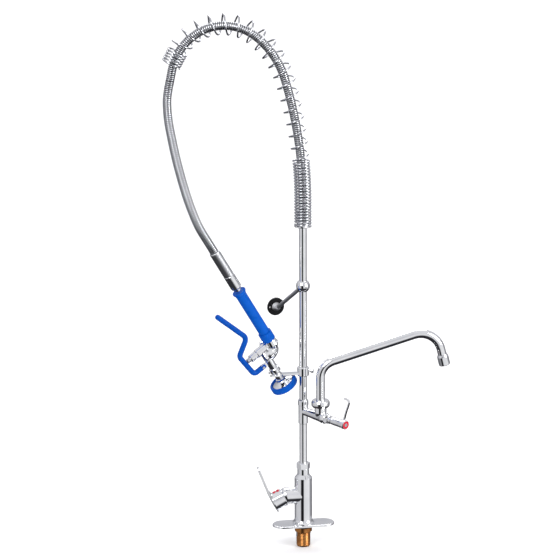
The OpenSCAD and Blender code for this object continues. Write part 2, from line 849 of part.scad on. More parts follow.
module lever_set_screw() {
    color(steel) lever_frame() translate([-lever_square / 2 - 0.2, 0, hub_rim + 22]) rotate([0, -90, 0])
        cylinder(h = 12, d = 5);
}

module lever_index() {
    color(red) lever_frame() for (s = index_s)
        translate([hub_end_d / 2 - 2.2, 0, s]) rotate([0, 90, 0]) cylinder(h = 2.6, d = index_d);
}

// ---------- riser ----------

module riser_nut() {
    color(chrome) difference() {
        hex(riser_nut_af, neck_top, riser_nut_top);
        bore(pipe_hole + 2.35 + fit_gap, neck_top - 1, neck_top + spigot_h + 2.4);
        bore(pipe_hole, neck_top, riser_nut_top + 1);
    }
}

module riser_seals() {
    color(rubber) {
        ring(pipe_hole + 2.35, pipe_r + 0.05, neck_top + spigot_h, neck_top + spigot_h + 2.3);
        o_ring(pipe_r + 0.62, 0.55, tee_z + tee_socket / 2);
    }
}

module lower_riser() {
    color(chrome) ring(pipe_r, pipe_bore, neck_top - neck_socket, tee_z + tee_socket);
}

module upper_riser() {
    color(chrome) ring(pipe_r, pipe_bore, tee_top - upper_socket, collar_top + 10);
}

// ---------- add-on body ----------

module add_on_body() {
    neck_r = spout_neck_d / 2;
    color(chrome) difference() {
        union() {
            turned([[0, tee_z], [tee_d / 2 - 1, tee_z], [tee_d / 2, tee_z + 1],
                    [tee_d / 2, tee_top], [0, tee_top]]);
            arm_frame() turned([[0, 0], [arm_root_d / 2, 0], [arm_root_d / 2, tee_d / 2 + 4],
                    [arm_end_d / 2, spout_off], [bulb_d / 2 - 0.8, spout_off + 7], [bulb_d / 2, spout_off + 11],
                    [bulb_d / 2, bulb_end - 4], [bulb_d / 2 - 1, bulb_end - 1.5],
                    [bulb_d / 2 - 3, bulb_end], [0, bulb_end]]);
            spout_frame() turned([[0, 0], [arm_end_d / 2 - 1, 0], [neck_r - 1, 7], [neck_r, 11],
                    [neck_r, spout_neck_h - 4 - seat_gap], [neck_r - 1, spout_neck_h - 4 - seat_gap],
                    [neck_r - 1, spout_neck_h], [0, spout_neck_h]]);
        }
        bore(pipe_hole, tee_z - 1, tee_z + tee_socket);
        bore(pipe_bore, tee_z, tee_top);
        bore(pipe_hole, tee_top - upper_socket, tee_top + 1);
        bore(gland_r + fit_gap, tee_top - gland_len - 0.5, tee_top + 1);
        o_ring(pipe_r + 0.72, 0.72, tee_z + tee_socket / 2);
        arm_frame() bore(channel_d / 2, 0, valve_seat_at);
        arm_frame() bore(valve_hole, valve_seat_at, bulb_end + 1);
        spout_frame() bore(stem_r - 3, 0, spout_neck_h + 1);
        spout_frame() bore(stem_hole, spout_foot, spout_neck_h + 1);
    }
}

module tee_nut() {
    color(chrome) difference() {
        union() {
            turned([[0, tee_top], [tee_nut_d / 2 - 0.6, tee_top], [tee_nut_d / 2, tee_top + 0.6],
                    [tee_nut_d / 2, tee_nut_top - 4], [tee_nut_d / 2 - 0.8, tee_nut_top - 1.6],
                    [tee_nut_d / 2 - 2.4, tee_nut_top], [0, tee_nut_top]]);
            translate([0, 0, tee_top - gland_len]) cylinder(h = gland_len + eps, r = gland_r);
        }
        bore(pipe_hole, tee_top - gland_len - 1, tee_nut_top + 1);
    }
}

module spout_nut() {
    z0 = spout_neck_h - 4;
    z1 = z0 + spout_nut_h;
    r = spout_nut_d / 2;
    color(chrome) spout_frame() difference() {
        turned(concat([[0, z0], [r - 1.2, z0]], arc(r - 6, (z0 + z1) / 2, spout_nut_h * 0.72, -40, 40, 8),
                      [[stem_r + 1.4, z1], [0, z1]]));
        bore(spout_neck_d / 2 - 1 + fit_gap, z0 - 1, spout_neck_h + seat_gap + 3.4);
        bore(stem_hole, z0, z1 + 1);
    }
}

// ---------- swing spout ----------

stem_top = spout_neck_h + seat_gap + 3;
seal_heights = [12.5, 19];

module spout_stem() {
    color(brass) spout_frame() difference() {
        union() {
            bore(stem_r, spout_foot + seat_gap, stem_top);
            bore(collar_r, spout_neck_h + seat_gap, stem_top);
        }
        bore(stem_r - 4.4, 0, stem_top + 1);
        for (z = seal_heights) ring(stem_r + 1, stem_r - 2.3, z - 1.25, z + 1.25);
    }
}

module spout_seals() {
    color(rubber) spout_frame() for (z = seal_heights) o_ring(stem_r - 1.13, 1.1, z);
}

// The spout's run as a solid of radius r, longer by more at both ends.
module spout_run(r, more) {
    turn_low = 90 - spout_slope;
    turn_high = spout_slope + 90 - outlet_lean;
    leg_low = spout_bend_low * tan(turn_low / 2);
    leg_high = spout_bend_high * tan(turn_high / 2);
    middle = spout_reach / cos(spout_slope) - leg_low - leg_high;
    bore(r, stem_top - more, spout_rise - leg_low);
    translate([0, 0, spout_rise - leg_low]) {
        bend(spout_bend_low, turn_low, r);
        past_bend(spout_bend_low, turn_low) {
            cylinder(h = middle, r = r);
            translate([0, 0, middle]) {
                bend(spout_bend_high, turn_high, r);
                past_bend(spout_bend_high, turn_high) cylinder(h = outlet_run + 9 + more, r = r);
            }
        }
    }
}

module swing_spout() {
    color(chrome) spout_frame() difference() {
        spout_run(stem_r, 0);
        spout_run(stem_r - spout_wall, 1);
    }
}

// Outlet: local z runs out of the spout, from the start of the aerator.
module outlet_frame() {
    leg_high = spout_bend_high * tan((spout_slope + 90 - outlet_lean) / 2);
    spout_frame()
        translate([spout_reach, 0, spout_rise + spout_reach * tan(spout_slope)])
            rotate([0, 180 - outlet_lean, 0])
                translate([0, 0, leg_high + outlet_run])
                    children();
}

module aerator_housing() {
    r = aerator_d / 2;
    color(chrome) outlet_frame() difference() {
        turned([[0, 0], [stem_r + 1.2, 0], [r - 0.6, 3], [r, 5], [r, aerator_len - 1.5],
                [r - 1.2, aerator_len], [0, aerator_len]]);
        bore(stem_r + fit_gap, -1, 9 + seat_gap);
        bore(stem_r - 2, 8, 12);
        bore(r - 2.2, 11, aerator_len + 1);
    }
}

module aerator_insert() {
    color(white) outlet_frame() difference() {
        bore(aerator_d / 2 - 2.2 - fit_gap, 11, aerator_len - 2);
        for (n = [0:5])
            rotate([0, 0, n * 60]) translate([6, 0, 10]) cylinder(h = aerator_len, d = 3, $fn = 24);
        translate([0, 0, 10]) cylinder(h = aerator_len, d = 4, $fn = 24);
    }
}

// ---------- add-on valve and handle ----------

module valve_cartridge() {
    color(chrome) arm_frame() difference() {
        union() {
            bore(valve_r, valve_seat_at + 2, bulb_end);
            hex(bonnet_af, bulb_end, bulb_end + bonnet_len);
            turned([[0, bulb_end + bonnet_len - eps], [packing_d / 2, bulb_end + bonnet_len - eps],
                    [packing_d / 2, packing_end - 1], [packing_d / 2 - 1, packing_end], [0, packing_end]]);
        }
        bore(valve_r - 2.5, valve_seat_at, bulb_end - 4);
        bore(spindle_d / 2 + run_gap, valve_seat_at, packing_end + 1);
        for (a = [0, 90]) rotate([0, 0, a]) translate([-4, -20, spout_off - 5]) cube([8, 40, 9]);
    }
}

module seat_seal() {
    color(rubber) arm_frame() ring(valve_r, channel_d / 2 - 1, valve_seat_at, valve_seat_at + 2);
}

module valve_spindle() {
    color(steel) arm_frame() {
        bore(spindle_d / 2, valve_seat_at + 2 + seat_gap, handle_end - 12);
        intersection() {
            bore(valve_r - 2.5 - seat_gap, valve_seat_at + 2 + seat_gap, valve_seat_at + 5);
            translate([0, -20, 0]) cube([20, 40, 200]);
        }
    }
}

// Side outline of the handle's blade, as [height above the hub's axis, distance along the arm].
handle_curve = [
    [0, -7], [0.2, -6], [0.42, -1.5], [0.62, 3.5], [0.8, 8.5], [0.9, 10.6], [0.96, 9.5], [1, 4.5], [1, -5],
];

// Point i of the blade's middle line, and the line's normal there.
function blade_at(i) = [-handle_curve[i][0] * handle_rise, handle_end + handle_curve[i][1]];
function blade_normal(i) =
    let (n = len(handle_curve) - 1, d = unit(blade_at(min(i + 1, n)) - blade_at(max(i - 1, 0))))
    [-d[1], d[0]] * handle_blade_t / 2;

module handle_blade() {
    n = len(handle_curve) - 1;
    translate([0, handle_blade_w / 2, 0]) rotate([90, 0, 0]) linear_extrude(height = handle_blade_w)
        polygon(concat([for (i = [0:n]) blade_at(i) + blade_normal(i)],
                       [for (i = [n:-1:0]) blade_at(i) - blade_normal(i)]));
}

module add_on_handle() {
    r0 = handle_root_d / 2;
    r1 = handle_end_d / 2;
    color(chrome) arm_frame() difference() {
        union() {
            turned([[0, handle_start], [r0 - 1, handle_start], [r0, handle_start + 1],
                    [r0 + 0.2, handle_start + handle_len * 0.45], [r1, handle_end - 6],
                    [r1, handle_end - 1.2], [r1 - 1.2, handle_end], [0, handle_end]]);
            handle_blade();
        }
        bore(spindle_d / 2 + fit_gap, handle_start - 1, handle_end - 12 + seat_gap);
        bore(2.2, handle_start, handle_end + 1);
        bore(r1 - 1.4, handle_end - 1.6, handle_end + 1);
    }
}

module handle_index() {
    color(red) arm_frame()
        ring(handle_end_d / 2 - 1.4 - fit_gap, 4 + fit_gap, handle_end - 1.6, handle_end + 0.2);
}

module handle_screw() {
    color(steel) arm_frame() difference() {
        union() {
            bore(2, handle_end - 11.5, handle_end);
            bore(4, handle_end - 1.6, handle_end + 0.5);
        }
        translate([-3, -0.5, handle_end - 0.4]) cube([6, 1, 2]);
    }
}

// ---------- wall bracket ----------

rod_pitch = atan(bracket_drop / (bracket_reach - flange_t - flange_hub_len));
rod_foot = [bracket_reach - flange_t - flange_hub_len, 0, -bracket_drop];
rod_start = (pipe_r + 0.5 + rod_d / 2 * sin(rod_pitch)) / cos(rod_pitch);

module rod_line() {
    rotate([0, 90 + rod_pitch, 0]) children();
}

module wall_collar() {
    color(chrome) bracket_frame() difference() {
        intersection() {
            sphere(d = ball_d);
            cube([ball_d + 2, ball_d + 2, ball_h], center = true);
        }
        bore(pipe_r + run_gap, -ball_h, ball_h);
        rod_line() bore(rod_d / 2 + fit_gap, rod_start - 0.2, ball_d);
        rotate([0, -90, 0]) bore(2.6, 0, ball_d);
    }
}

module collar_screw() {
    color(steel) bracket_frame() rotate([0, -90, 0]) bore(2.5, pipe_r + 0.3, ball_d / 2 - 0.6);
}

module bracket_rod() {
    hub_r = flange_hub_d / 2;
    color(steel) bracket_frame() {
        rod_line() bore(rod_d / 2, rod_start, norm(rod_foot));
        translate(rod_foot) sphere(r = rod_d / 2 + 2.2);
        translate(rod_foot) rotate([0, 90, 0]) cylinder(h = flange_hub_len, r1 = rod_d / 2 + 2.2, r2 = hub_r);
    }
}

module wall_flange() {
    color(rubber) bracket_frame() translate([bracket_reach - flange_t, 0, -bracket_drop]) rotate([0, 90, 0])
        difference() {
            turned([[0, 0], [flange_d / 2 - 1.6, 0], [flange_d / 2 - 0.4, 0.6], [flange_d / 2, 1.8],
                    [flange_d / 2, flange_t], [0, flange_t]]);
            for (side = [-1, 1]) translate([0, side * flange_pcd / 2, -1])
                cylinder(h = flange_t + 2, d = flange_hole_d);
        }
}

// ---------- spray holder ----------

module spray_holder() {
    slot_end = fork_reach + prong_len;
    outer = fork_slot_half + prong_w;
    color(chrome) difference() {
        union() {
            turned([[0, holder_z], [clamp_d / 2 - 1.5, holder_z], [clamp_d / 2, holder_z + 1.5],
                    [clamp_d / 2, holder_z + clamp_h - 1.5], [clamp_d / 2 - 1.5, holder_z + clamp_h],
                    [0, holder_z + clamp_h]]);
            translate([0, 0, fork_z - holder_arm_t]) linear_extrude(height = holder_arm_t) {
                translate([-fork_reach, -holder_arm_w / 2]) square([fork_reach, holder_arm_w]);
                translate([-fork_reach, 0]) circle(r = outer);
                translate([-slot_end + prong_w / 2, -outer]) square([prong_len - prong_w / 2, 2 * outer]);
                for (side = [-1, 1])
                    translate([-slot_end + prong_w / 2, side * (outer - prong_w / 2)]) circle(d = prong_w);
            }
        }
        bore(pipe_r + 0.05, holder_z - 1, holder_z + clamp_h + 1);
        translate([-slot_end - 1, -fork_slot_half, fork_z - holder_arm_t - 1])
            cube([prong_len + 1, 2 * fork_slot_half, holder_arm_t + 2]);
        grip_frame() translate([neck_off, 0, fork_u - 20])
            cylinder(h = 40, d = spray_neck_d + 2 * seat_gap + 0.2);
        translate([0, 0, holder_z + clamp_h / 2]) rotate([0, 90, 0]) cylinder(h = clamp_d, d = 5.2);
    }
}

module holder_thumbscrew() {
    color(chrome) translate([0, 0, holder_z + clamp_h / 2]) rotate([0, 90, 0])
        turned([[0, pipe_r + 0.3], [2.5, pipe_r + 0.3], [2.5, clamp_d / 2 + 2.5],
                [thumb_d / 2 - 1, clamp_d / 2 + 4], [thumb_d / 2, thumb_reach - 4],
                [thumb_d / 2, thumb_reach - 1], [thumb_d / 2 - 1, thumb_reach],
                [0, thumb_reach]]);
}

// ---------- arch geometry ----------

// Length of one piece of a path.
function piece_len(p) = p[1] == p[2] ? p[0] : p[0] * (p[2] - p[1]) * PI / 180;

// Step [out, up] over the first s millimetres of a path's piece.
function piece_step(p, s) =
    let (a = p[1], b = p[1] == p[2] ? a : a + s / p[0] * 180 / PI)
    p[1] == p[2]
        ? [s * sin(a), s * cos(a)]
        : [p[0] * (cos(a) - cos(b)), p[0] * (sin(b) - sin(a))];

function path_len(path, i = 0) = i >= len(path) ? 0 : piece_len(path[i]) + path_len(path, i + 1);

// Point [out, up] at s millimetres along a path.
function path_point(path, s, i = 0) =
    i == len(path) - 1 || s <= piece_len(path[i])
        ? piece_step(path[i], s)
        : piece_step(path[i], piece_len(path[i])) + path_point(path, s - piece_len(path[i]), i + 1);

// Heading at s millimetres along a path.
function path_heading(path, s, i = 0) =
    i == len(path) - 1 || s <= piece_len(path[i])
        ? (path[i][1] == path[i][2] ? path[i][1] : path[i][1] + s / path[i][0] * 180 / PI)
        : path_heading(path, s - piece_len(path[i]), i + 1);

function unit(v) = v / norm(v);

// ---------- overhead spring ----------

spring_len = path_len(spring_path);
first_s = wire_d / 2 + seat_gap;
last_s = spring_len - wire_d / 2;
close_len = close_turns * close_pitch;
end_len = end_turns * close_pitch;
open_pitch = (last_s - first_s - close_len - end_len) / open_turns;
turns = close_turns + open_turns + end_turns;
rings_per_turn = 8;
wire_sides = 6;

// Distance along the arch after n turns.
function turn_s(n) =
    n <= close_turns ? first_s + n * close_pitch
    : n <= close_turns + open_turns ? first_s + close_len + (n - close_turns) * open_pitch
    : last_s - (turns - n) * close_pitch;

// Radius of the wire's centre line at s millimetres along the arch.
function coil_radius(s) =
    let (close_r = (spring_d - wire_d) / 2, top_r = (spring_top_d - wire_d) / 2,
         end_r = (spring_end_d - wire_d) / 2, a = close_len, b = spring_len * 0.55, c = spring_len * 0.75)
    s <= a ? close_r
    : s <= b ? close_r + (top_r - close_r) * (s - a) / (b - a)
    : s <= c ? top_r
    : top_r + (end_r - top_r) * (s - c) / (spring_len - c);

function coil_point(n) =
    let (s = turn_s(n), p = path_point(spring_path, s), h = path_heading(spring_path, s),
         r = coil_radius(s), a = 360 * n)
    [p[0] + r * cos(a) * cos(h), r * sin(a), arch_foot + p[1] - r * cos(a) * sin(h)];

// Centre of the arch under a point of the wire, which gives the outward direction of its section.
function coil_centre(n) =
    let (p = path_point(spring_path, turn_s(n)))
    [p[0], 0, arch_foot + p[1]];

function wire_ring(n) =
    let (c = coil_point(n), t = unit(coil_point(n + 0.01) - coil_point(n - 0.01)),
         out0 = unit(c - coil_centre(n)), side = unit(cross(t, out0)), out = cross(side, t))
    [for (k = [0:wire_sides - 1]) let (a = 360 * k / wire_sides)
        c + wire_d / 2 * (cos(a) * out + sin(a) * side)];

// Faces of a tube of m rings with n sides each: side triangles and two end fans.
function skin_faces(m, n, base = 0) = [
    for (i = [0:m - 2]) for (k = [0:n - 1]) for (half = [0, 1])
        let (a = base + i * n + k, b = base + i * n + (k + 1) % n, c = a + n, d = b + n)
        half == 0 ? [a, b, d] : [a, d, c]
];
function fan(n, base, flip) = [
    for (k = [1:n - 2]) flip ? [base, base + k + 1, base + k] : [base, base + k, base + k + 1]
];

ring_count = turns * rings_per_turn + 1;
spring_rings = [for (i = [0:ring_count - 1]) wire_ring(i / rings_per_turn)];

// Least gap between neighbouring turns, measured between the centre lines one turn apart.
coil_gap = min([for (i = [0:ring_count - 1 - rings_per_turn])
    norm(coil_point(i / rings_per_turn + 1) - coil_point(i / rings_per_turn)) - wire_d]);
echo(least_gap_between_turns = coil_gap);

module overhead_spring() {
    points = [for (r = spring_rings) for (p = r) p];
    last = (ring_count - 1) * wire_sides;
    color(chrome) arch_frame() polyhedron(points = points, faces = concat(
        skin_faces(ring_count, wire_sides), fan(wire_sides, 0, true), fan(wire_sides, last, false)));
}

module spring_collar() {
    hub_r = (spring_d / 2 - wire_d) * cos(180 / rings_per_turn) - seat_gap;
    color(chrome) difference() {
        turned([[0, collar_z], [spring_d / 2 - 0.8, collar_z], [spring_d / 2, collar_z + 0.8],
                [spring_d / 2, spring_seat], [hub_r, spring_seat], [hub_r, collar_top], [0, collar_top]]);
        bore(pipe_hole, collar_z - 1, collar_top + 1);
    }
}

module hose_nut() {
    z0 = collar_top + seat_gap;
    color(chrome) difference() {
        hex(hose_nut_af, z0, hose_z);
        bore(pipe_hole, z0 - 1, collar_top + 10 + seat_gap);
        bore(hose_bore / 2, z0, hose_z + 1);
    }
}

// ---------- hose ----------

sides = 8;

// A ring of the hose at point p with direction t and radius r.
function hose_ring(p, t, r) =
    let (n = unit(cross([0, 1, 0], t)), b = cross(t, n))
    [for (k = [0:sides - 1]) p + r * (cos(360 * k / sides) * n + sin(360 * k / sides) * b)];

// Faces of a hollow tube: outer rings first, then the bore's rings.
function hollow_faces(m, j) =
    let (inner = m * sides)
    concat(
        skin_faces(m, sides),
        [for (f = skin_faces(j, sides, inner)) [f[0], f[2], f[1]]],
        [for (k = [0:sides - 1]) for (half = [0, 1])
            let (k2 = (k + 1) % sides)
            half == 0 ? [k, inner + k, inner + k2] : [k, inner + k2, k2]],
        [for (k = [0:sides - 1]) for (half = [0, 1])
            let (k2 = (k + 1) % sides, o = (m - 1) * sides, q = inner + (j - 1) * sides)
            half == 0 ? [o + k, q + k2, q + k] : [o + k, o + k2, q + k2]]);

module hose_body(outer, inner) {
    rings = concat(outer, inner);
    polyhedron(points = [for (r = rings) for (p = r) p], faces = hollow_faces(len(outer), len(inner)));
}

crest = hose_d / 2;
valley = hose_d / 2 - rib_depth;
bore_r = hose_bore / 2;

// Hose inside the spring.
hose_start_s = hose_z - arch_foot;
hose_end_s = path_len(hose_arc);
function spring_hose_at(s) = let (p = path_point(hose_arc, s)) [p[0], 0, arch_foot + p[1]];
function spring_hose_dir(s) = let (h = path_heading(hose_arc, s)) [sin(h), 0, cos(h)];
spring_bore_steps = 22;

module spring_hose() {
    span = hose_end_s - hose_start_s;
    m = 2 * spring_hose_ribs;
    outer = [for (i = [0:m]) let (s = hose_start_s + span * i / m)
        hose_ring(spring_hose_at(s), spring_hose_dir(s), i % 2 == 0 ? valley : crest)];
    inner = [for (i = [0:spring_bore_steps]) let (s = hose_start_s + span * i / spring_bore_steps)
        hose_ring(spring_hose_at(s), spring_hose_dir(s), bore_r)];
    color(steel) arch_frame() hose_body(outer, inner);
}

// Point of the spray valve's axis at u along the grip, in the arch's frame.
function grip_point(u) =
    let (du = u - fork_u, t = -du * cos(grip_dip) - neck_off * sin(grip_dip),
         z = fork_z - seat_gap - du * sin(grip_dip) + neck_off * cos(grip_dip))
    [fork_reach * cos(arch_turn) + t * cos(swing_deg - arch_turn),
     t * sin(swing_deg - arch_turn) - fork_reach * sin(arch_turn), z];

function hose_lead(run) = spring_hose_at(hose_end_s) + run * spring_hose_dir(hose_end_s);
route = concat([hose_lead(seat_gap), hose_lead(24)], hose_route,
               [for (run = [27, 0]) grip_point(-ferrule_top - run)]);

// Smooth curve through the route: a Catmull-Rom spline whose ends run straight.
function spline(pts, x) =
    let (n = len(pts), i = min(floor(x), n - 2), u = x - i,
         b = pts[i], c = pts[i + 1],
         a = i == 0 ? 2 * b - c : pts[i - 1],
         d = i == n - 2 ? 2 * c - b : pts[i + 2])
    0.5 * (2 * b + (c - a) * u + (2 * a - 5 * b + 4 * c - d) * pow(u, 2) + (3 * b - a - 3 * c + d) * pow(u, 3));

chords = [for (i = [0:len(route) - 2]) norm(route[i + 1] - route[i])];
function chord_sum(i) = i == 0 ? 0 : chords[i - 1] + chord_sum(i - 1);
route_len = chord_sum(len(chords));

// Spline parameter at a share f of the route's length.
function route_at(f, i = 0) =
    i == len(chords) - 1 || f * route_len <= chord_sum(i + 1)
        ? i + (f * route_len - chord_sum(i)) / chords[i]
        : route_at(f, i + 1);

function free_dir(x) = unit(spline(route, min(x + 0.02, len(route) - 1)) - spline(route, max(x - 0.02, 0)));
free_bore_steps = 14;

module free_hose() {
    m = 2 * free_hose_ribs;
    outer = [for (i = [0:m]) let (x = route_at(i / m))
        hose_ring(spline(route, x), free_dir(x), i % 2 == 0 ? valley : crest)];
    inner = [for (i = [0:free_bore_steps]) let (x = route_at(i / free_bore_steps))
        hose_ring(spline(route, x), free_dir(x), bore_r)];
    color(steel) arch_frame() hose_body(outer, inner);
}

// ---------- grip ----------

module hose_ferrule() {
    r = ferrule_d / 2;
    z0 = -ferrule_top;
    z1 = -sleeve_top;
    color(steel) grip_frame() difference() {
        turned([[0, z0], [r - 2, z0], [r - 0.5, z0 + 1.2], [r, z0 + 3],
                [r, z1 - 1], [r - 0.6, z1], [0, z1]]);
        bore(bore_r, z0 - 1, z1 + 1);
    }
}

module swivel_sleeve() {
    r = sleeve_d / 2;
    z0 = -sleeve_top;
    z1 = -grip_tube_bare;
    color(chrome) grip_frame() difference() {
        turned([[0, z0], [r - 0.6, z0], [r, z0 + 0.8], [r, z1 - 4], [r - 1, z1 - 1.6], [r - 3, z1], [0, z1]]);
        bore(bore_r, z0 - 1, z1 + 1);
        bore(grip_tube_d / 2 + fit_gap, z0 + 12, z1 + 1);
    }
}

module grip_tube() {
    color(chrome) grip_frame() ring(grip_tube_d / 2, bore_r, -sleeve_top + 12 + seat_gap, body_u + 6);
}

module blue_grip() {
    r = grip_d / 2;
    color(blue) grip_frame() difference() {
        turned([[0, 0], [grip_flange_d / 2 - 1, 0], [grip_flange_d / 2, 1], [grip_flange_d / 2, 3],
                [grip_flange_d / 2 - 1.2, 5], [r + 0.6, 9], [r, 13], [r, grip_len],
                [grip_collar_d / 2 - 0.6, grip_len], [grip_collar_d / 2, grip_len + 0.8],
                [grip_collar_d / 2, body_u - 0.8], [grip_collar_d / 2 - 0.8, body_u], [0, body_u]]);
        bore(grip_tube_d / 2 + fit_gap, -1, body_u + 1);
    }
}

// ---------- spray valve body ----------

chamber_floor = 9;
spigot_len = 6;
spigot_r = bonnet_d / 2 - 0.6;

module valve_lug() {
    reach = pivot_v - neck_off;
    translate([neck_off, lug_t / 2, pivot_u]) rotate([90, 0, 0]) linear_extrude(height = lug_t) {
        translate([0, -5]) square([reach, 10]);
        translate([reach, 0]) circle(r = 5);
    }
}

module spray_valve_body() {
    roll = bell_roll / 2;
    roll_at = bell_d / 2 - roll;
    boss_r = bonnet_d / 2 + 1.4;
    boss_root = grip_collar_d / 2 + seat_gap;
    color(chrome) difference() {
        union() {
            grip_frame() turned([[0, body_u], [13.5, body_u], [16.6, body_u + 12.5], [15.8, body_u + 14.5],
                                 [9, body_u + 27], [0, body_u + 27]]);
            bell_frame() turned(concat(
                [[0, -9], [7, -8], [13, -4], [18, 2], [22, bell_face - 16], [roll_at - 2, bell_face - 10]],
                arc(roll_at, bell_face - roll, roll, -60, 150, 9),
                [[roll_at - 6, bell_face - 4], [0, bell_face - 4]]));
            stem_frame() turned([[0, 6], [spigot_r + 0.5, 6], [spigot_r + 0.5, boss_root],
                                 [boss_r, boss_root + 2], [boss_r, boss_face], [0, boss_face]]);
            grip_frame() translate([neck_off, 0, 0]) turned([[0, bonnet_u + 2], [9.7, bonnet_u + 2],
                    [9.7, bonnet_u + 30], [spray_neck_d / 2 + 0.6, bonnet_u + 36],
                    [spray_neck_d / 2 + 0.6, shoulder_start], [0, shoulder_start]]);
            grip_frame() valve_lug();
        }
        grip_frame() bore(grip_tube_d / 2 + fit_gap, body_u - 1, body_u + 6 + seat_gap);
        grip_frame() bore(bore_r, body_u, bonnet_u);
        stem_frame() bore(4, 0, chamber_floor + 1);
        stem_frame() bore(spigot_r + fit_gap, chamber_floor, boss_face + 1);
        grip_frame() translate([neck_off, 0, 0]) bore(5, bonnet_u + spigot_r - 2, shoulder_start + 1);
        grip_frame() translate([pivot_v, 0, pivot_u]) rotate([90, 0, 0])
            cylinder(h = 40, d = trigger_pin_d + 0.1, center = true);
    }
}

module valve_bonnet() {
    r = bonnet_d / 2;
    top = boss_face + bonnet_out;
    color(chrome) stem_frame() difference() {
        union() {
            bore(spigot_r, boss_face - spigot_len, boss_face + eps);
            turned([[0, boss_face], [r + 1.4, boss_face], [r + 1.4, boss_face + 2.5], [r, boss_face + 4],
                    [r, top - 1.5], [r - 1.5, top], [0, top]]);
        }
        bore(plunger_d / 2 + run_gap, boss_face - spigot_len - 1, top + 1);
        for (n = [0:7]) rotate([0, 0, n * 45]) translate([r + 0.4, -1.2, boss_face + 6])
            cube([3, 2.4, bonnet_out - 8]);
    }
}

plunger_seal_v = chamber_floor + 13 + plunger_travel;

module valve_plunger() {
    color(steel) stem_frame() {
        turned([[0, plunger_seal_v], [plunger_d / 2, plunger_seal_v], [plunger_d / 2, plunger_tip - 1],
                [plunger_d / 2 - 1, plunger_tip], [0, plunger_tip]]);
        bore(spigot_r - 1.4, plunger_seal_v, plunger_seal_v + 3);
    }
}

module plunger_spring() {
    color(steel) stem_frame()
        ring(spigot_r - 2, spigot_r - 3.4, chamber_floor, plunger_seal_v - plunger_travel - seat_gap);
}

// ---------- trigger ----------

// The trigger's rod: its corners as [distance along the grip, distance out from it] and bend radii.
trigger_line = [[pivot_u, pivot_v - 5], [pivot_u, corner_v], [bend_u, bend_v],
                [upper_u, upper_v], [tip_u, tip_v]];
trigger_bends = [0, 10, 12, 14, 0];

function leg_dir(i) = unit(trigger_line[i + 1] - trigger_line[i]);
function leg_angle(i) = atan2(leg_dir(i)[1], leg_dir(i)[0]);
function leg_turn(i) =
    let (a = leg_dir(i - 1), b = leg_dir(i))
    atan2(a[0] * b[1] - a[1] * b[0], a[0] * b[0] + a[1] * b[1]);
function leg_cut(i) = trigger_bends[i] == 0 ? 0 : trigger_bends[i] * tan(abs(leg_turn(i)) / 2);

// Places children at a point of the trigger's plane, with their z along leg i.
module on_leg(i, p) {
    translate([p[1], 0, p[0]]) rotate([0, leg_angle(i), 0]) children();
}

module trigger_rod() {
    last = len(trigger_line) - 2;
    for (i = [0:last]) {
        run = norm(trigger_line[i + 1] - trigger_line[i]) - leg_cut(i) - leg_cut(i + 1);
        start = trigger_line[i] + leg_dir(i) * leg_cut(i);
        foot = i == 0 ? [[0, -3], [trigger_r - 3, -3], [trigger_r - 1, -2]] : [[0, 0]];
        head = i == last ? concat(arc(0, run, trigger_r, 15, 75, 4), [[0, run + trigger_r]]) : [[0, run]];
        on_leg(i, start) turned(concat(foot, [[trigger_r, 0], [trigger_r, run]], head));
    }
    for (i = [1:last])
        on_leg(i - 1, trigger_line[i] - leg_dir(i - 1) * leg_cut(i))
            rotate([0, 0, leg_turn(i) < 0 ? 180 : 0]) bend(trigger_bends[i], abs(leg_turn(i)), trigger_r);
}

module trigger_lever() {
    ear_gap = lug_t / 2 + seat_gap;
    color(blue) grip_frame() difference() {
        trigger_rod();
        translate([pivot_v - 20, -ear_gap, pivot_u - 20]) cube([20 + 9, 2 * ear_gap, 40]);
        translate([pivot_v, 0, pivot_u]) rotate([90, 0, 0])
            cylinder(h = 40, d = trigger_pin_d + 2 * run_gap, center = true);
        for (side = [-1, 1]) translate([pivot_v, side * (trigger_r - 0.9 + 10), pivot_u])
            rotate([90, 0, 0]) cylinder(h = 20, r = trigger_r, center = true);
    }
}

module trigger_pin() {
    half = trigger_r - 0.9;
    color(steel) grip_frame() translate([pivot_v, 0, pivot_u]) rotate([90, 0, 0]) {
        cylinder(h = 2 * half + 2, d = trigger_pin_d, center = true);
        for (side = [-1, 1]) translate([0, 0, side * (half + 1.1)]) cylinder(h = 1.6, r = 3.4, center = true);
    }
}

// ---------- spray head ----------

module spray_neck() {
    r = spray_neck_d / 2;
    color(chrome) grip_frame() translate([neck_off, 0, 0]) difference() {
        union() {
            turned([[0, shoulder_start], [shoulder_d / 2 - 1.5, shoulder_start],
                    [shoulder_d / 2, shoulder_start + 1.5], [shoulder_d / 2, shoulder_end - 1],
                    [shoulder_d / 2 - 1, shoulder_end], [r, shoulder_end], [r, dish_u], [0, dish_u]]);
        }
        bore(5, shoulder_start - 1, dish_u + 1);
    }
}

module spray_dish() {
    r = spray_neck_d / 2;
    rim = dish_d / 2;
    color(chrome) grip_frame() translate([neck_off, 0, 0]) difference() {
        turned([[0, dish_u], [r + 2.2, dish_u], [r + 2.2, dish_u + 4.5], [r + 4, dish_u + 6.5],
                [rim - 8, dish_u + 9.5], [rim - 2, dish_u + 12], [rim, dish_u + 14],
                [rim, rim_u], [0, rim_u]]);
        turned([[0, dish_u + 9], [r + 2, dish_u + 9], [rim - 3, dish_u + 13.6],
                [rim - 2, dish_u + 14.5], [rim - 2, rim_u - plate_spray_t], [0, rim_u - plate_spray_t]]);
        bore(rim - 1.2, rim_u - plate_spray_t, rim_u + 1);
        bore(5, dish_u - 1, dish_u + 10);
    }
}

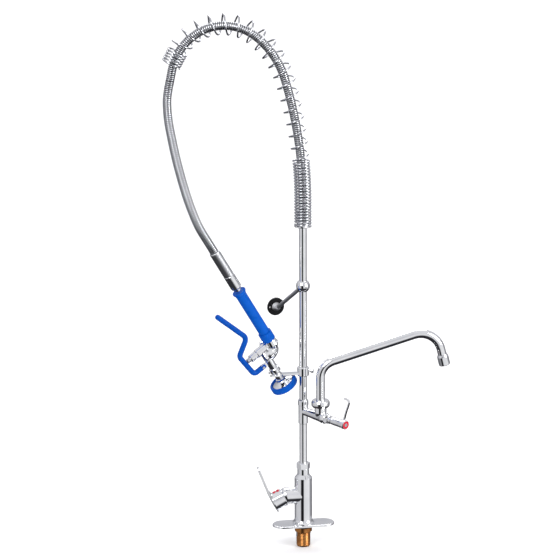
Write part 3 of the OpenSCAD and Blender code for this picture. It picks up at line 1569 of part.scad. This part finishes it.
module spray_plate() {
    rim = dish_d / 2 - 1.2 - fit_gap;
    color(steel) grip_frame() translate([neck_off, 0, 0]) difference() {
        bore(rim, rim_u - plate_spray_t, rim_u);
        for (row = [0:2]) for (n = [0:7 + 4 * row])
            rotate([0, 0, n * 360 / (8 + 4 * row)]) translate([9 + 5.5 * row, 0, rim_u - 5])
                cylinder(h = 10, d = spray_hole_d, $fn = 16);
        bore(2.2, rim_u - 5, rim_u + 1);
    }
}

module bumper_ring() {
    ro = bumper_d / 2;
    ri = dish_d / 2 + fit_gap;
    z1 = rim_u + bumper_over;
    z0 = z1 - bumper_h;
    color(blue) grip_frame() translate([neck_off, 0, 0]) rotate_extrude()
        polygon(concat([[ri, z0 + 1.2], [ri + 1.2, z0]], arc(ro - 3, z0 + 3, 3, -90, 0, 6),
                       arc(ro - 3, z1 - 3, 3, 0, 90, 6), [[ri, z1]]));
}

module face_screw() {
    color(steel) grip_frame() translate([neck_off, 0, 0]) {
        bore(2, rim_u - plate_spray_t - 3, rim_u);
        turned([[0, rim_u], [4, rim_u], [3.2, rim_u + 1.4], [0, rim_u + 1.6]]);
    }
}

// ---------- assembly ----------

deck_plate();
shank_washer();
lock_nut();
jam_screws();
mounting_shank();
mixer_body();
ceramic_cartridge();
cartridge_ring();
dome_cap();
cartridge_rotor();
rotor_pin();
cartridge_spindle();
mixer_lever();
lever_set_screw();
lever_index();
riser_nut();
riser_seals();
lower_riser();
add_on_body();
tee_nut();
upper_riser();
spout_nut();
spout_stem();
spout_seals();
swing_spout();
aerator_housing();
aerator_insert();
valve_cartridge();
seat_seal();
valve_spindle();
add_on_handle();
handle_index();
handle_screw();
wall_collar();
collar_screw();
bracket_rod();
wall_flange();
spray_holder();
holder_thumbscrew();
spring_collar();
overhead_spring();
hose_nut();
spring_hose();
free_hose();
hose_ferrule();
swivel_sleeve();
grip_tube();
blue_grip();
spray_valve_body();
valve_bonnet();
valve_plunger();
plunger_spring();
trigger_lever();
trigger_pin();
spray_neck();
spray_dish();
spray_plate();
bumper_ring();
face_screw();
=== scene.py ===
"""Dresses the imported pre-rinse faucet: camera, hose, spring, threads and finishes. All sizes in metres."""
import json
from math import cos, pi, radians, sin

import bmesh
import bpy
import numpy as np
from mathutils import Matrix, Vector


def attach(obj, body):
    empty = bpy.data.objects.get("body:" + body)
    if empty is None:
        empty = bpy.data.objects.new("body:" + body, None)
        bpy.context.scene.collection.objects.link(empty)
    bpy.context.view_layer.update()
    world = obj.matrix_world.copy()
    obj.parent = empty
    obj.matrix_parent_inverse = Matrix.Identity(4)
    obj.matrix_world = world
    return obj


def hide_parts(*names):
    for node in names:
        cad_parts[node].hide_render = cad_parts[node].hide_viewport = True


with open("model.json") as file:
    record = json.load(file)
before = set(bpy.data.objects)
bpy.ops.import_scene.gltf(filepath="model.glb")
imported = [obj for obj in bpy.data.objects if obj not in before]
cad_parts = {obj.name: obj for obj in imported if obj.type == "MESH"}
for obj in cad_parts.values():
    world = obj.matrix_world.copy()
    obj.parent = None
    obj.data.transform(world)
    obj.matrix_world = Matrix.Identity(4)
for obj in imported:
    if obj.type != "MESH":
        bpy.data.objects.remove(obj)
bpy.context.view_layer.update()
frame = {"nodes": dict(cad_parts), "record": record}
MM = 0.001


# ---------------------------------------------------------------- camera

def set_camera():
    """Camera on the sphere of 8 m round the faucet's middle: 9.5 degrees to the left, 15.3 up."""
    azimuth, elevation, distance = radians(-9.5), radians(15.3), 8.0
    target = Vector((-0.0525, 0.0088, 0.5992))
    back = Vector((sin(azimuth) * cos(elevation), -cos(azimuth) * cos(elevation), sin(elevation)))
    right = Vector((cos(azimuth), sin(azimuth), 0.0))
    up = back.cross(right)
    data = bpy.data.cameras.new("camera")
    data.lens, data.sensor_width, data.clip_end = 221.7, 36.0, 60.0
    camera = bpy.data.objects.new("camera", data)
    bpy.context.collection.objects.link(camera)
    turn = Matrix((right, up, back)).transposed().to_4x4()
    roll = Matrix.Rotation(radians(-0.2), 4, "Z")
    camera.matrix_world = Matrix.Translation(target + back * distance) @ turn @ roll
    bpy.context.scene.camera = camera


set_camera()


# ---------------------------------------------------------------- mesh helpers

def grid_faces(rows, cols, wrap_rows=False, wrap_cols=True):
    """Quads between neighbours of a rows x cols grid of vertices, as index arrays."""
    i = np.arange(rows if wrap_rows else rows - 1)
    j = np.arange(cols if wrap_cols else cols - 1)
    a, b = np.meshgrid(i, j, indexing="ij")
    a2, b2 = (a + 1) % rows, (b + 1) % cols
    return np.stack([a * cols + b, a * cols + b2, a2 * cols + b2, a2 * cols + b], axis=-1).reshape(-1, 4)


def new_piece(name, points, faces, body, material, uv=None, smooth=True):
    """Mesh object at the origin from vertex and quad arrays, shaded smooth."""
    mesh = bpy.data.meshes.new(name)
    mesh.from_pydata(points.reshape(-1, 3).tolist(), [], [tuple(f) for f in faces])
    mesh.update()
    mesh.polygons.foreach_set("use_smooth", [smooth] * len(mesh.polygons))
    if uv is not None:
        layer = mesh.uv_layers.new(name="surface")
        index = np.empty(len(mesh.loops), dtype=np.int32)
        mesh.loops.foreach_get("vertex_index", index)
        layer.data.foreach_set("uv", uv.reshape(-1, 2)[index].ravel())
    obj = bpy.data.objects.new(name, mesh)
    bpy.context.collection.objects.link(obj)
    mesh.materials.append(material)
    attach(obj, body)
    return obj


def swept(path, radius, sides, reference):
    """Rings of a round section carried along a path: p + r (cos a n + sin a b), where n is the reference
    direction made square to the path's tangent and b is their cross product."""
    tangent = np.gradient(path, axis=0)
    tangent /= np.linalg.norm(tangent, axis=1)[:, None]
    normal = np.cross(reference, tangent)
    normal /= np.linalg.norm(normal, axis=1)[:, None]
    binormal = np.cross(tangent, normal)
    angle = np.arange(sides) * 2 * pi / sides
    radius = np.broadcast_to(np.asarray(radius, float), (len(path),))
    return (path[:, None, :] + radius[:, None, None] * (np.cos(angle)[None, :, None] * normal[:, None, :]
            + np.sin(angle)[None, :, None] * binormal[:, None, :]))


def capped(rings):
    """A grid of rings closed by a middle vertex, doubled into a ring, at each end."""
    first, last = rings[:1].mean(axis=1, keepdims=True), rings[-1:].mean(axis=1, keepdims=True)
    first, last = np.repeat(first, rings.shape[1], axis=1), np.repeat(last, rings.shape[1], axis=1)
    return np.concatenate([first, rings, last])


def merged(obj, distance=1e-6):
    """Welds an object's doubled vertices, as at the poles of a turned shape, and turns its faces outwards."""
    work = bmesh.new()
    work.from_mesh(obj.data)
    bmesh.ops.remove_doubles(work, verts=work.verts, dist=distance)
    bmesh.ops.recalc_face_normals(work, faces=work.faces)
    work.to_mesh(obj.data)
    work.free()
    return obj


# ---------------------------------------------------------------- materials

def principled(name, color, metallic, roughness):
    """A Principled material with its constant values set on the shader's own sockets."""
    material = bpy.data.materials.new(name)
    material.use_nodes = True
    nodes, links = material.node_tree.nodes, material.node_tree.links
    shader = nodes["Principled BSDF"]
    shader.inputs["Base Color"].default_value = (*color, 1.0)
    shader.inputs["Metallic"].default_value = metallic
    shader.inputs["Roughness"].default_value = roughness
    coords = nodes.new("ShaderNodeTexCoord")
    mapping = nodes.new("ShaderNodeMapping")
    links.new(coords.outputs["Object"], mapping.inputs["Vector"])
    return material, nodes, links, shader, mapping


def noise(nodes, links, vector, scale, detail=3.0, roughness=0.5):
    node = nodes.new("ShaderNodeTexNoise")
    node.inputs["Scale"].default_value = scale
    node.inputs["Detail"].default_value = detail
    node.inputs["Roughness"].default_value = roughness
    links.new(vector, node.inputs["Vector"])
    return node


def ranged(nodes, links, value, low, high, source=(0.35, 0.65)):
    node = nodes.new("ShaderNodeMapRange")
    node.inputs["From Min"].default_value, node.inputs["From Max"].default_value = source
    node.inputs["To Min"].default_value, node.inputs["To Max"].default_value = low, high
    links.new(value, node.inputs["Value"])
    return node.outputs["Result"]


def tinted(nodes, links, value, dark, light, source=(0.35, 0.65)):
    node = nodes.new("ShaderNodeMix")
    node.data_type = "RGBA"
    node.inputs["A"].default_value = (*dark, 1.0)
    node.inputs["B"].default_value = (*light, 1.0)
    links.new(ranged(nodes, links, value, 0.0, 1.0, source), node.inputs["Factor"])
    return node.outputs["Result"]


def bumped(nodes, links, shader, height, strength, distance):
    node = nodes.new("ShaderNodeBump")
    node.inputs["Strength"].default_value = strength
    node.inputs["Distance"].default_value = distance
    links.new(height, node.inputs["Height"])
    links.new(node.outputs["Normal"], shader.inputs["Normal"])


def chrome_finish():
    """Bright chrome plate: faint polishing haze in broad patches, and fine wiping marks in the gloss."""
    material, nodes, links, shader, mapping = principled("bright_chrome", (0.88, 0.885, 0.9), 1.0, 0.06)
    haze = noise(nodes, links, mapping.outputs["Vector"], 22.0, 4.0)
    marks = noise(nodes, links, mapping.outputs["Vector"], 420.0, 2.0, 0.6)
    both = nodes.new("ShaderNodeMath")
    both.operation = "MULTIPLY"
    links.new(haze.outputs["Fac"], both.inputs[0])
    links.new(marks.outputs["Fac"], both.inputs[1])
    links.new(ranged(nodes, links, both.outputs["Value"], 0.03, 0.10, (0.15, 0.4)),
              shader.inputs["Roughness"])
    links.new(tinted(nodes, links, haze.outputs["Fac"], (0.84, 0.85, 0.87), (0.93, 0.935, 0.945)),
              shader.inputs["Base Color"])
    bumped(nodes, links, shader, haze.outputs["Fac"], 0.03, 0.0004)
    return material


def brushed_finish(name, color, low, high, stretch):
    """Turned or brushed metal: fine marks drawn out along one axis, in gloss, colour and a slight bump."""
    material, nodes, links, shader, mapping = principled(name, color, 1.0, low)
    mapping.inputs["Scale"].default_value = stretch
    grain = noise(nodes, links, mapping.outputs["Vector"], 300.0, 4.0, 0.6)
    links.new(ranged(nodes, links, grain.outputs["Fac"], low, high), shader.inputs["Roughness"])
    dark = tuple(c * 0.86 for c in color)
    links.new(tinted(nodes, links, grain.outputs["Fac"], dark, color), shader.inputs["Base Color"])
    bumped(nodes, links, shader, grain.outputs["Fac"], 0.08, 0.0002)
    return material


def brass_finish():
    """Bare copper-coloured brass: warm patches of tarnish, with a machined grain."""
    material, nodes, links, shader, mapping = principled("bare_brass", (0.62, 0.31, 0.10), 1.0, 0.28)
    patches = noise(nodes, links, mapping.outputs["Vector"], 60.0, 5.0, 0.6)
    grain = noise(nodes, links, mapping.outputs["Vector"], 700.0, 2.0)
    links.new(tinted(nodes, links, patches.outputs["Fac"], (0.36, 0.13, 0.035), (0.66, 0.31, 0.10)),
              shader.inputs["Base Color"])
    links.new(ranged(nodes, links, patches.outputs["Fac"], 0.38, 0.2), shader.inputs["Roughness"])
    bumped(nodes, links, shader, grain.outputs["Fac"], 0.08, 0.0002)
    return material


def moulded_finish(name, color, low, high, bump, scale, sheen=0.0, coat=0.0):
    """Moulded rubber, plastic or coating: slight cloudiness in the colour and a fine orange-peel surface."""
    material, nodes, links, shader, mapping = principled(name, color, 0.0, low)
    shader.inputs["Sheen Weight"].default_value = sheen
    shader.inputs["Coat Weight"].default_value = coat
    shader.inputs["Specular IOR Level"].default_value = 0.1
    shader.inputs["Coat Roughness"].default_value = 0.08
    cloud = noise(nodes, links, mapping.outputs["Vector"], 35.0, 3.0)
    peel = noise(nodes, links, mapping.outputs["Vector"], scale, 2.0)
    dark = tuple(c * 0.88 for c in color)
    links.new(tinted(nodes, links, cloud.outputs["Fac"], dark, color), shader.inputs["Base Color"])
    links.new(ranged(nodes, links, cloud.outputs["Fac"], low, high), shader.inputs["Roughness"])
    bumped(nodes, links, shader, peel.outputs["Fac"], bump, 0.0003)
    return material


def hose_finish():
    """Stainless strip hose, with painted shade in its ribs: the base colour near black in the valleys and
    pale on the crests, read from the rib height in the surface map.
    """
    material, nodes, links, shader, mapping = principled("strip_hose", (0.66, 0.67, 0.69), 1.0, 0.25)
    surface = nodes.new("ShaderNodeUVMap")
    surface.uv_map = "surface"
    split = nodes.new("ShaderNodeSeparateXYZ")
    links.new(surface.outputs["UV"], split.inputs["Vector"])
    grain = noise(nodes, links, mapping.outputs["Vector"], 900.0, 2.0)
    # painted shade: the valleys' base colour near black, the crests pale
    links.new(tinted(nodes, links, split.outputs["X"], (0.02, 0.02, 0.022), (0.60, 0.61, 0.64), (0.3, 1.0)),
              shader.inputs["Base Color"])
    links.new(ranged(nodes, links, grain.outputs["Fac"], 0.16, 0.3), shader.inputs["Roughness"])
    return material


CHROME = chrome_finish()
STEEL = brushed_finish("turned_steel", (0.60, 0.61, 0.63), 0.2, 0.36, (1.0, 1.0, 9.0))
SPRING_STEEL = brushed_finish("spring_steel", (0.62, 0.63, 0.66), 0.08, 0.18, (1.0, 1.0, 1.0))
ROD_STEEL = brushed_finish("rod_steel", (0.78, 0.79, 0.81), 0.34, 0.46, (1.0, 6.0, 1.0))
FERRULE = brushed_finish("ferrule_steel", (0.62, 0.63, 0.65), 0.32, 0.46, (6.0, 6.0, 1.0))
BRASS = brass_finish()
HOSE = hose_finish()
GRIP_BLUE = moulded_finish("blue_grip_rubber", (0.0, 0.080, 0.43), 0.24, 0.34, 0.12, 1500.0)
COAT_BLUE = moulded_finish("blue_dip_coat", (0.0, 0.062, 0.36), 0.22, 0.32, 0.10, 500.0)
BUMPER_BLUE = moulded_finish("blue_bumper", (0.0, 0.074, 0.41), 0.26, 0.36, 0.10, 1200.0)
BLACK = moulded_finish("black_moulding", (0.006, 0.006, 0.007), 0.32, 0.45, 0.10, 900.0)
RUBBER = moulded_finish("black_rubber", (0.02, 0.02, 0.02), 0.55, 0.7, 0.15, 800.0)
WHITE = moulded_finish("white_moulding", (0.78, 0.78, 0.75), 0.35, 0.45, 0.05, 900.0)
RED = moulded_finish("red_enamel", (0.55, 0.008, 0.03), 0.12, 0.2, 0.03, 900.0, coat=0.6)
BUTTON = brushed_finish("button_metal", (0.62, 0.64, 0.67), 0.22, 0.34, (1.0, 1.0, 1.0))

FINISH = {"chrome": CHROME, "brass": BRASS, "steel": STEEL, "stainless_hose": FERRULE, "blue_grip": GRIP_BLUE,
          "blue_coat": COAT_BLUE, "blue_rubber": BUMPER_BLUE, "black": BLACK, "rubber": RUBBER,
          "ceramic": WHITE, "red": RED, "grey_button": BUTTON}
for part in frame["record"]["subparts"]:
    node = frame["nodes"][part["node"]]
    node.data.materials.clear()
    node.data.materials.append(FINISH[part["material_slot"]])
frame["nodes"]["bracket_rod"].data.materials[0] = ROD_STEEL


# ---------------------------------------------------------------- the arch's frame and its paths

ARCH_TURN = radians(-15)
OUT = np.array([-cos(ARCH_TURN), -sin(ARCH_TURN), 0.0])
SIDE = np.array([sin(ARCH_TURN), -cos(ARCH_TURN), 0.0])
UP = np.array([0.0, 0.0, 1.0])
ARCH_FOOT = 0.730


def from_arch(points):
    """Points [out, sideways, up] in the arch's frame to the row frame."""
    return points[..., :1] * OUT + points[..., 1:2] * SIDE + points[..., 2:] * UP


def arch_path(pieces, step=0.0001):
    """Distance, heading and place along straights and bends, as dense arrays: the heading is linear along
    each piece, and the place is the running sum of its sine and cosine."""
    lengths = np.array([r if a == b else r * radians(b - a) for r, a, b in pieces]) * MM
    knots = np.concatenate([[0.0], np.cumsum(lengths)])
    headings = np.radians([pieces[0][1]] + [p[2] for p in pieces])
    s = np.linspace(0.0, knots[-1], int(knots[-1] / step) + 1)
    heading = np.interp(s, knots, headings)
    middle = (heading[1:] + heading[:-1]) / 2
    ds = np.diff(s)
    out = np.concatenate([[0.0], np.cumsum(np.sin(middle) * ds)])
    up = np.concatenate([[0.0], np.cumsum(np.cos(middle) * ds)])
    return s, heading, out, up


SPRING_PATH = arch_path([(63, 0, 0), (987, 0, 16.6), (199, 16.6, 52.9), (112, 52.9, 80), (119, 80, 152.5),
                         (38, 152.5, 152.5)])
HOSE_PATH = arch_path([(63, 0, 0), (987, 0, 16.6), (194, 16.6, 51), (115.5, 51, 119), (134.4, 119, 168.7),
                       (25, 168.7, 168.7)])


def along(path, s):
    """Place in the arch's frame at distances s along a dense path."""
    dense, _, out, up = path
    return np.stack([np.interp(s, dense, out), np.zeros_like(s), ARCH_FOOT + np.interp(s, dense, up)],
                    axis=-1)


# ---------------------------------------------------------------- hose

RIB_PITCH = 0.0046
CREST, VALLEY = 0.01025, 0.00915
PLAIN_END = 0.0004


def rib_shape(phase):
    """Radius of the strip hose over one rib: a rounded crest, |sin|^0.7 of the phase, between grooves."""
    return VALLEY + (CREST - VALLEY) * np.clip(1.1 * np.abs(np.sin(pi * phase)) ** 0.7, 0.0, 1.0)


def ribbed_hose(name, path_at, length, ends, body, reference):
    """A ribbed tube along a path, its radius a periodic function of the distance; ends run plain."""
    ribs = int(round((length - 2 * ends) / RIB_PITCH))
    per_rib, sides = 8, 28
    pitch = (length - 2 * ends) / ribs
    s = np.concatenate([[0.0], ends + np.arange(ribs * per_rib + 1) / per_rib * pitch, [length]])
    phase = (s - ends) / pitch
    radius = rib_shape(phase)
    radius[[0, -1]] = (VALLEY + CREST) / 2
    rings = capped(swept(path_at(s), radius, sides, reference))
    # rib height 0..1, carried in the surface map; the hose material paints shade into the valleys from it
    shade = np.repeat(((radius - VALLEY) / (CREST - VALLEY))[:, None], sides, axis=1)
    shade = np.concatenate([shade[:1], shade, shade[-1:]])
    turn = np.broadcast_to(np.arange(sides) / sides, shade.shape)
    return new_piece(name, rings, grid_faces(len(rings), sides), body, HOSE, np.stack([shade, turn], axis=-1))


def free_route():
    """Route points of the free hose, in metres; make_free_hose draws the same Catmull-Rom spline through them
    as the part's source.
    """
    end, heading = along(HOSE_PATH, HOSE_PATH[0][-1:])[0] / MM, HOSE_PATH[1][-1]
    points = [end + run * np.array([sin(heading), 0.0, cos(heading)]) for run in (0.3, 24)]
    points += [np.array(p, float) for p in ROUTE]
    points += [grip_point(-(FERRULE_TOP + run)) for run in (27, 0)]
    return np.array(points) * MM


ROUTE = [(312, 6, 1015), (308, 18, 977), (298, 37, 937), (286, 60, 898), (273, 81, 861),
         (259, 100, 824), (244, 114, 788), (227, 119, 750)]
SWING = radians(18)
DIP, FORK_U, FORK_REACH, FORK_Z, NECK_OFF = radians(58.4), 233.0, 61.1, 375.7, 26.5
FERRULE_TOP = 9.5 + 39.5 + 70.0


def grip_point(u):
    """A point u along the spray valve's axis, in the arch's frame, in millimetres."""
    du = u - FORK_U
    run = -du * cos(DIP) - NECK_OFF * sin(DIP)
    out = FORK_REACH * cos(ARCH_TURN) + run * cos(SWING - ARCH_TURN)
    side = run * sin(SWING - ARCH_TURN) - FORK_REACH * sin(ARCH_TURN)
    return np.array([out, side, FORK_Z - du * sin(DIP) + NECK_OFF * cos(DIP)])


def spline(points, x):
    """Catmull-Rom curve through the points at parameters x, its ends carried on straight."""
    padded = np.concatenate([[2 * points[0] - points[1]], points, [2 * points[-1] - points[-2]]])
    i = np.minimum(np.floor(x).astype(int), len(points) - 2)
    u = (x - i)[:, None]
    a, b, c, d = padded[i], padded[i + 1], padded[i + 2], padded[i + 3]
    return 0.5 * (2 * b + (c - a) * u + (2 * a - 5 * b + 4 * c - d) * u ** 2
                  + (3 * b - a - 3 * c + d) * u ** 3)


def make_free_hose():
    route = free_route()
    dense = from_arch(spline(route, np.linspace(0, len(route) - 1, 4001)))
    run = np.concatenate([[0.0], np.cumsum(np.linalg.norm(np.diff(dense, axis=0), axis=1))])
    length = run[-1]

    def place(s):
        return np.stack([np.interp(s, run, dense[:, k]) for k in range(3)], axis=-1)

    hose = ribbed_hose("strip_hose_free", place, length, PLAIN_END, "faucet", SIDE)
    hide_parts("free_hose")
    print("free hose length", round(float(length), 4))
    return hose


make_free_hose()


def make_spring_hose():
    start, end = 0.035, HOSE_PATH[0][-1]

    def place(s):
        return from_arch(along(HOSE_PATH, s + start))

    hose = ribbed_hose("strip_hose_arch", place, end - start, PLAIN_END, "faucet", SIDE)
    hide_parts("spring_hose")


make_spring_hose()


# ---------------------------------------------------------------- overhead spring

def make_spring():
    """Round wire wound about the arch: close turns, open turns and close turns again. The turn's number gives
    the distance along the arch, and the wire's centre is the arch's point plus r (cos a, sin a) across it."""
    wire, gap = 0.0040, 0.0003
    close_turns, open_turns, end_turns, close_pitch = 22, 18, 5, 0.0069
    length = SPRING_PATH[0][-1]
    first, last = wire / 2 + gap, length - wire / 2
    turns = close_turns + open_turns + end_turns
    knots_n = [0, close_turns, close_turns + open_turns, turns]
    knots_s = [first, first + close_turns * close_pitch, last - end_turns * close_pitch, last]
    rings_per_turn, sides = 40, 14
    n = np.linspace(0, turns, turns * rings_per_turn + 1)
    s = np.interp(n, knots_n, knots_s)
    close_r, top_r, end_r = 0.01825, 0.02375, 0.022
    radius = np.interp(s, [close_turns * close_pitch, length * 0.55, length * 0.75, length],
                       [close_r, top_r, top_r, end_r])
    heading = np.interp(s, SPRING_PATH[0], SPRING_PATH[1])
    centre = along(SPRING_PATH, s)
    angle = 2 * pi * n
    across = np.stack([np.cos(angle) * np.cos(heading), np.sin(angle), -np.cos(angle) * np.sin(heading)],
                      axis=-1)
    line = centre + radius[:, None] * across
    tangent = np.gradient(line, axis=0)
    tangent /= np.linalg.norm(tangent, axis=1)[:, None]
    side = np.cross(tangent, across)
    side /= np.linalg.norm(side, axis=1)[:, None]
    outward = np.cross(side, tangent)
    turn = np.arange(sides) * 2 * pi / sides
    rings = line[:, None, :] + wire / 2 * (np.cos(turn)[None, :, None] * outward[:, None, :]
                                           + np.sin(turn)[None, :, None] * side[:, None, :])
    rings = capped(from_arch(rings))
    spring = merged(new_piece("wound_spring", rings, grid_faces(len(rings), sides), "faucet", SPRING_STEEL))
    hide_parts("overhead_spring")


make_spring()


# ---------------------------------------------------------------- threaded shank

def make_thread():
    """The shank's thread as a thin sleeve: its radius is a sharp wave of the height less one pitch a turn,
    and it dies away towards the chamfered foot."""
    pitch, sides = 0.0018, 72
    foot, top, root, depth = -0.0505, -0.0158, 0.01598, 0.00055
    z = np.linspace(foot, top, int((top - foot) / pitch * 8) + 1)
    angle = np.arange(sides) * 2 * pi / sides
    wave = 1 - np.abs(((z[:, None] / pitch - angle[None, :] / (2 * pi)) % 1.0) * 2 - 1)
    fade = np.clip((z[:, None] - foot) / 0.002, 0, 1)
    radius = root + depth * wave * fade
    radius = np.concatenate([np.full((1, sides), root - 0.0004), radius, np.full((1, sides), root - 0.0004)])
    z = np.concatenate([z[:1], z, z[-1:]])
    rings = np.stack([radius * np.cos(angle), radius * np.sin(angle),
                      np.broadcast_to(z[:, None], radius.shape)], axis=-1)
    rings = np.concatenate([rings, rings[:1]])
    thread = merged(new_piece("shank_thread", rings, grid_faces(len(rings), sides), "faucet", BRASS))


make_thread()


# ---------------------------------------------------------------- stage and light

FRONT = radians(-99.5)
ROOM = [(-180, 0.32), (-150, 0.22), (-112, 0.26), (-96, 0.58), (-38, 0.66), (-32, 0.60), (-26, 0.012),
        (4, 0.012), (9, 0.78), (76, 0.88), (92, 0.52), (106, 0.24), (150, 0.22), (180, 0.32)]


def maths(nodes, links, operation, first, second=None):
    """A math node on two values, each a socket or a number; gives its output."""
    node = nodes.new("ShaderNodeMath")
    node.operation = operation
    for socket, value in zip(node.inputs, (first, second)):
        if isinstance(value, (int, float)):
            socket.default_value = value
        elif value is not None:
            links.new(value, socket)
    return node.outputs["Value"]


def blended(nodes, links, share, first, second):
    """Colour (1 - share) first + share second; first and second are sockets or plain colours."""
    node = nodes.new("ShaderNodeMix")
    node.data_type = "RGBA"
    links.new(share, node.inputs["Factor"])
    for name, value in (("A", first), ("B", second)):
        if isinstance(value, tuple):
            node.inputs[name].default_value = (*value, 1.0)
        else:
            links.new(value, node.inputs[name])
    return node.outputs["Result"]


def studio_room(nodes, links, vector):
    """The room that bright metal reflects: brightness by the angle round the faucet from the front, in the
    straight steps of ROOM, then cool white above. The angle is atan2(y, x) less that of the front."""
    split = nodes.new("ShaderNodeSeparateXYZ")
    links.new(vector, split.inputs["Vector"])
    angle = maths(nodes, links, "ARCTAN2", split.outputs["Y"], split.outputs["X"])
    turns = maths(nodes, links, "DIVIDE", maths(nodes, links, "SUBTRACT", angle, FRONT - pi), 2 * pi)
    ramp = nodes.new("ShaderNodeValToRGB")
    links.new(maths(nodes, links, "FRACT", turns), ramp.inputs["Fac"])
    stops = ramp.color_ramp.elements
    while len(stops) < len(ROOM):
        stops.new(0.5)
    for stop, (degrees, light) in zip(stops, ROOM):
        stop.position = (degrees + 180) / 360
    for stop, (degrees, light) in zip(stops, ROOM):
        stop.color = (light, light, light * (1.10 - 0.10 * light), 1.0)
    reach = nodes.new("ShaderNodeVectorMath")
    reach.operation = "LENGTH"
    links.new(vector, reach.inputs[0])
    height = maths(nodes, links, "DIVIDE", split.outputs["Z"], reach.outputs["Value"])
    low = blended(nodes, links, ranged(nodes, links, height, 0.0, 0.8, (0.0, 0.45)), ramp.outputs["Color"],
                  (0.70, 0.70, 0.74))
    return blended(nodes, links, ranged(nodes, links, height, 0.0, 1.0, (0.55, 0.9)), low, (0.80, 0.80, 0.82))


def make_stage():
    """A wide pale floor under the shank's end, turned up behind into a backdrop. To glossy rays it glows
    instead: a painted reflection of the room's light steps that turns near black where the ray comes down
    steeply.
    """
    bend, radius, floor_z = np.linspace(0.1, pi / 2, 12), 2.0, -0.0526
    y = np.concatenate([[-6.0], np.linspace(-1.0, 3.0, 9), 3.0 + radius * np.sin(bend), [5.0]])
    z = floor_z + np.concatenate([np.zeros(10), radius - radius * np.cos(bend), [9.0]])
    x = np.array([-9.0, 9.0])
    grid = np.stack([np.broadcast_to(x, (len(y), 2)), np.broadcast_to(y[:, None], (len(y), 2)),
                     np.broadcast_to(z[:, None], (len(y), 2))], axis=-1)
    mesh = bpy.data.meshes.new("floor")
    faces = grid_faces(len(y), 2, wrap_cols=False)
    mesh.from_pydata(grid.reshape(-1, 3).tolist(), [], [tuple(f) for f in faces])
    mesh.polygons.foreach_set("use_smooth", [True] * len(mesh.polygons))
    floor = bpy.data.objects.new("floor", mesh)
    bpy.context.collection.objects.link(floor)
    material, nodes, links, shader, mapping = principled("pale_floor", (0.92, 0.92, 0.92), 0.0, 0.8)
    shader.inputs["Specular IOR Level"].default_value = 0.05
    room = studio_room(nodes, links, mapping.outputs["Vector"])
    # painted reflection: glossy rays see the floor glow with the room's light steps, near black where they
    # come down steeply; camera and diffuse rays see the pale floor
    ray = nodes.new("ShaderNodeNewGeometry")
    slope = nodes.new("ShaderNodeSeparateXYZ")
    links.new(ray.outputs["Incoming"], slope.inputs["Vector"])
    steep = ranged(nodes, links, slope.outputs["Z"], 0.0, 1.0, (0.38, 0.62))
    glossy_glow = nodes.new("ShaderNodeEmission")
    links.new(blended(nodes, links, steep, room, (0.03, 0.03, 0.035)), glossy_glow.inputs["Color"])
    path = nodes.new("ShaderNodeLightPath")
    mix = nodes.new("ShaderNodeMixShader")
    links.new(path.outputs["Is Glossy Ray"], mix.inputs["Fac"])
    links.new(shader.outputs["BSDF"], mix.inputs[1])
    links.new(glossy_glow.outputs["Emission"], mix.inputs[2])
    links.new(mix.outputs["Shader"], nodes["Material Output"].inputs["Surface"])
    mesh.materials.append(material)


def soft_box(name, place, aim, size, power):
    data = bpy.data.lights.new(name, "AREA")
    data.shape, data.size, data.size_y, data.energy = "RECTANGLE", size[0], size[1], power
    light = bpy.data.objects.new(name, data)
    bpy.context.collection.objects.link(light)
    light.location = place
    light.rotation_euler = (Vector(aim) - Vector(place)).to_track_quat("-Z", "Y").to_euler()


def make_light():
    """A white room with dark strips, so that bright metal shows both, and three soft boxes."""
    world = bpy.data.worlds.new("studio")
    bpy.context.scene.world = world
    world.use_nodes = True
    nodes, links = world.node_tree.nodes, world.node_tree.links
    coords = nodes.new("ShaderNodeTexCoord")
    room = studio_room(nodes, links, coords.outputs["Generated"])
    links.new(room, nodes["Background"].inputs["Color"])
    nodes["Background"].inputs["Strength"].default_value = 1.0
    soft_box("key", (-2.6, -3.4, 3.6), (0, 0, 0.5), (2.4, 2.4), 120)
    soft_box("fill", (3.4, -2.6, 2.0), (0, 0, 0.5), (1.6, 3.0), 130)
    soft_box("rim", (0.5, 2.8, 3.2), (0, 0, 0.6), (3.0, 1.4), 60)
    bpy.context.scene.view_settings.view_transform = "Standard"


make_stage()
make_light()
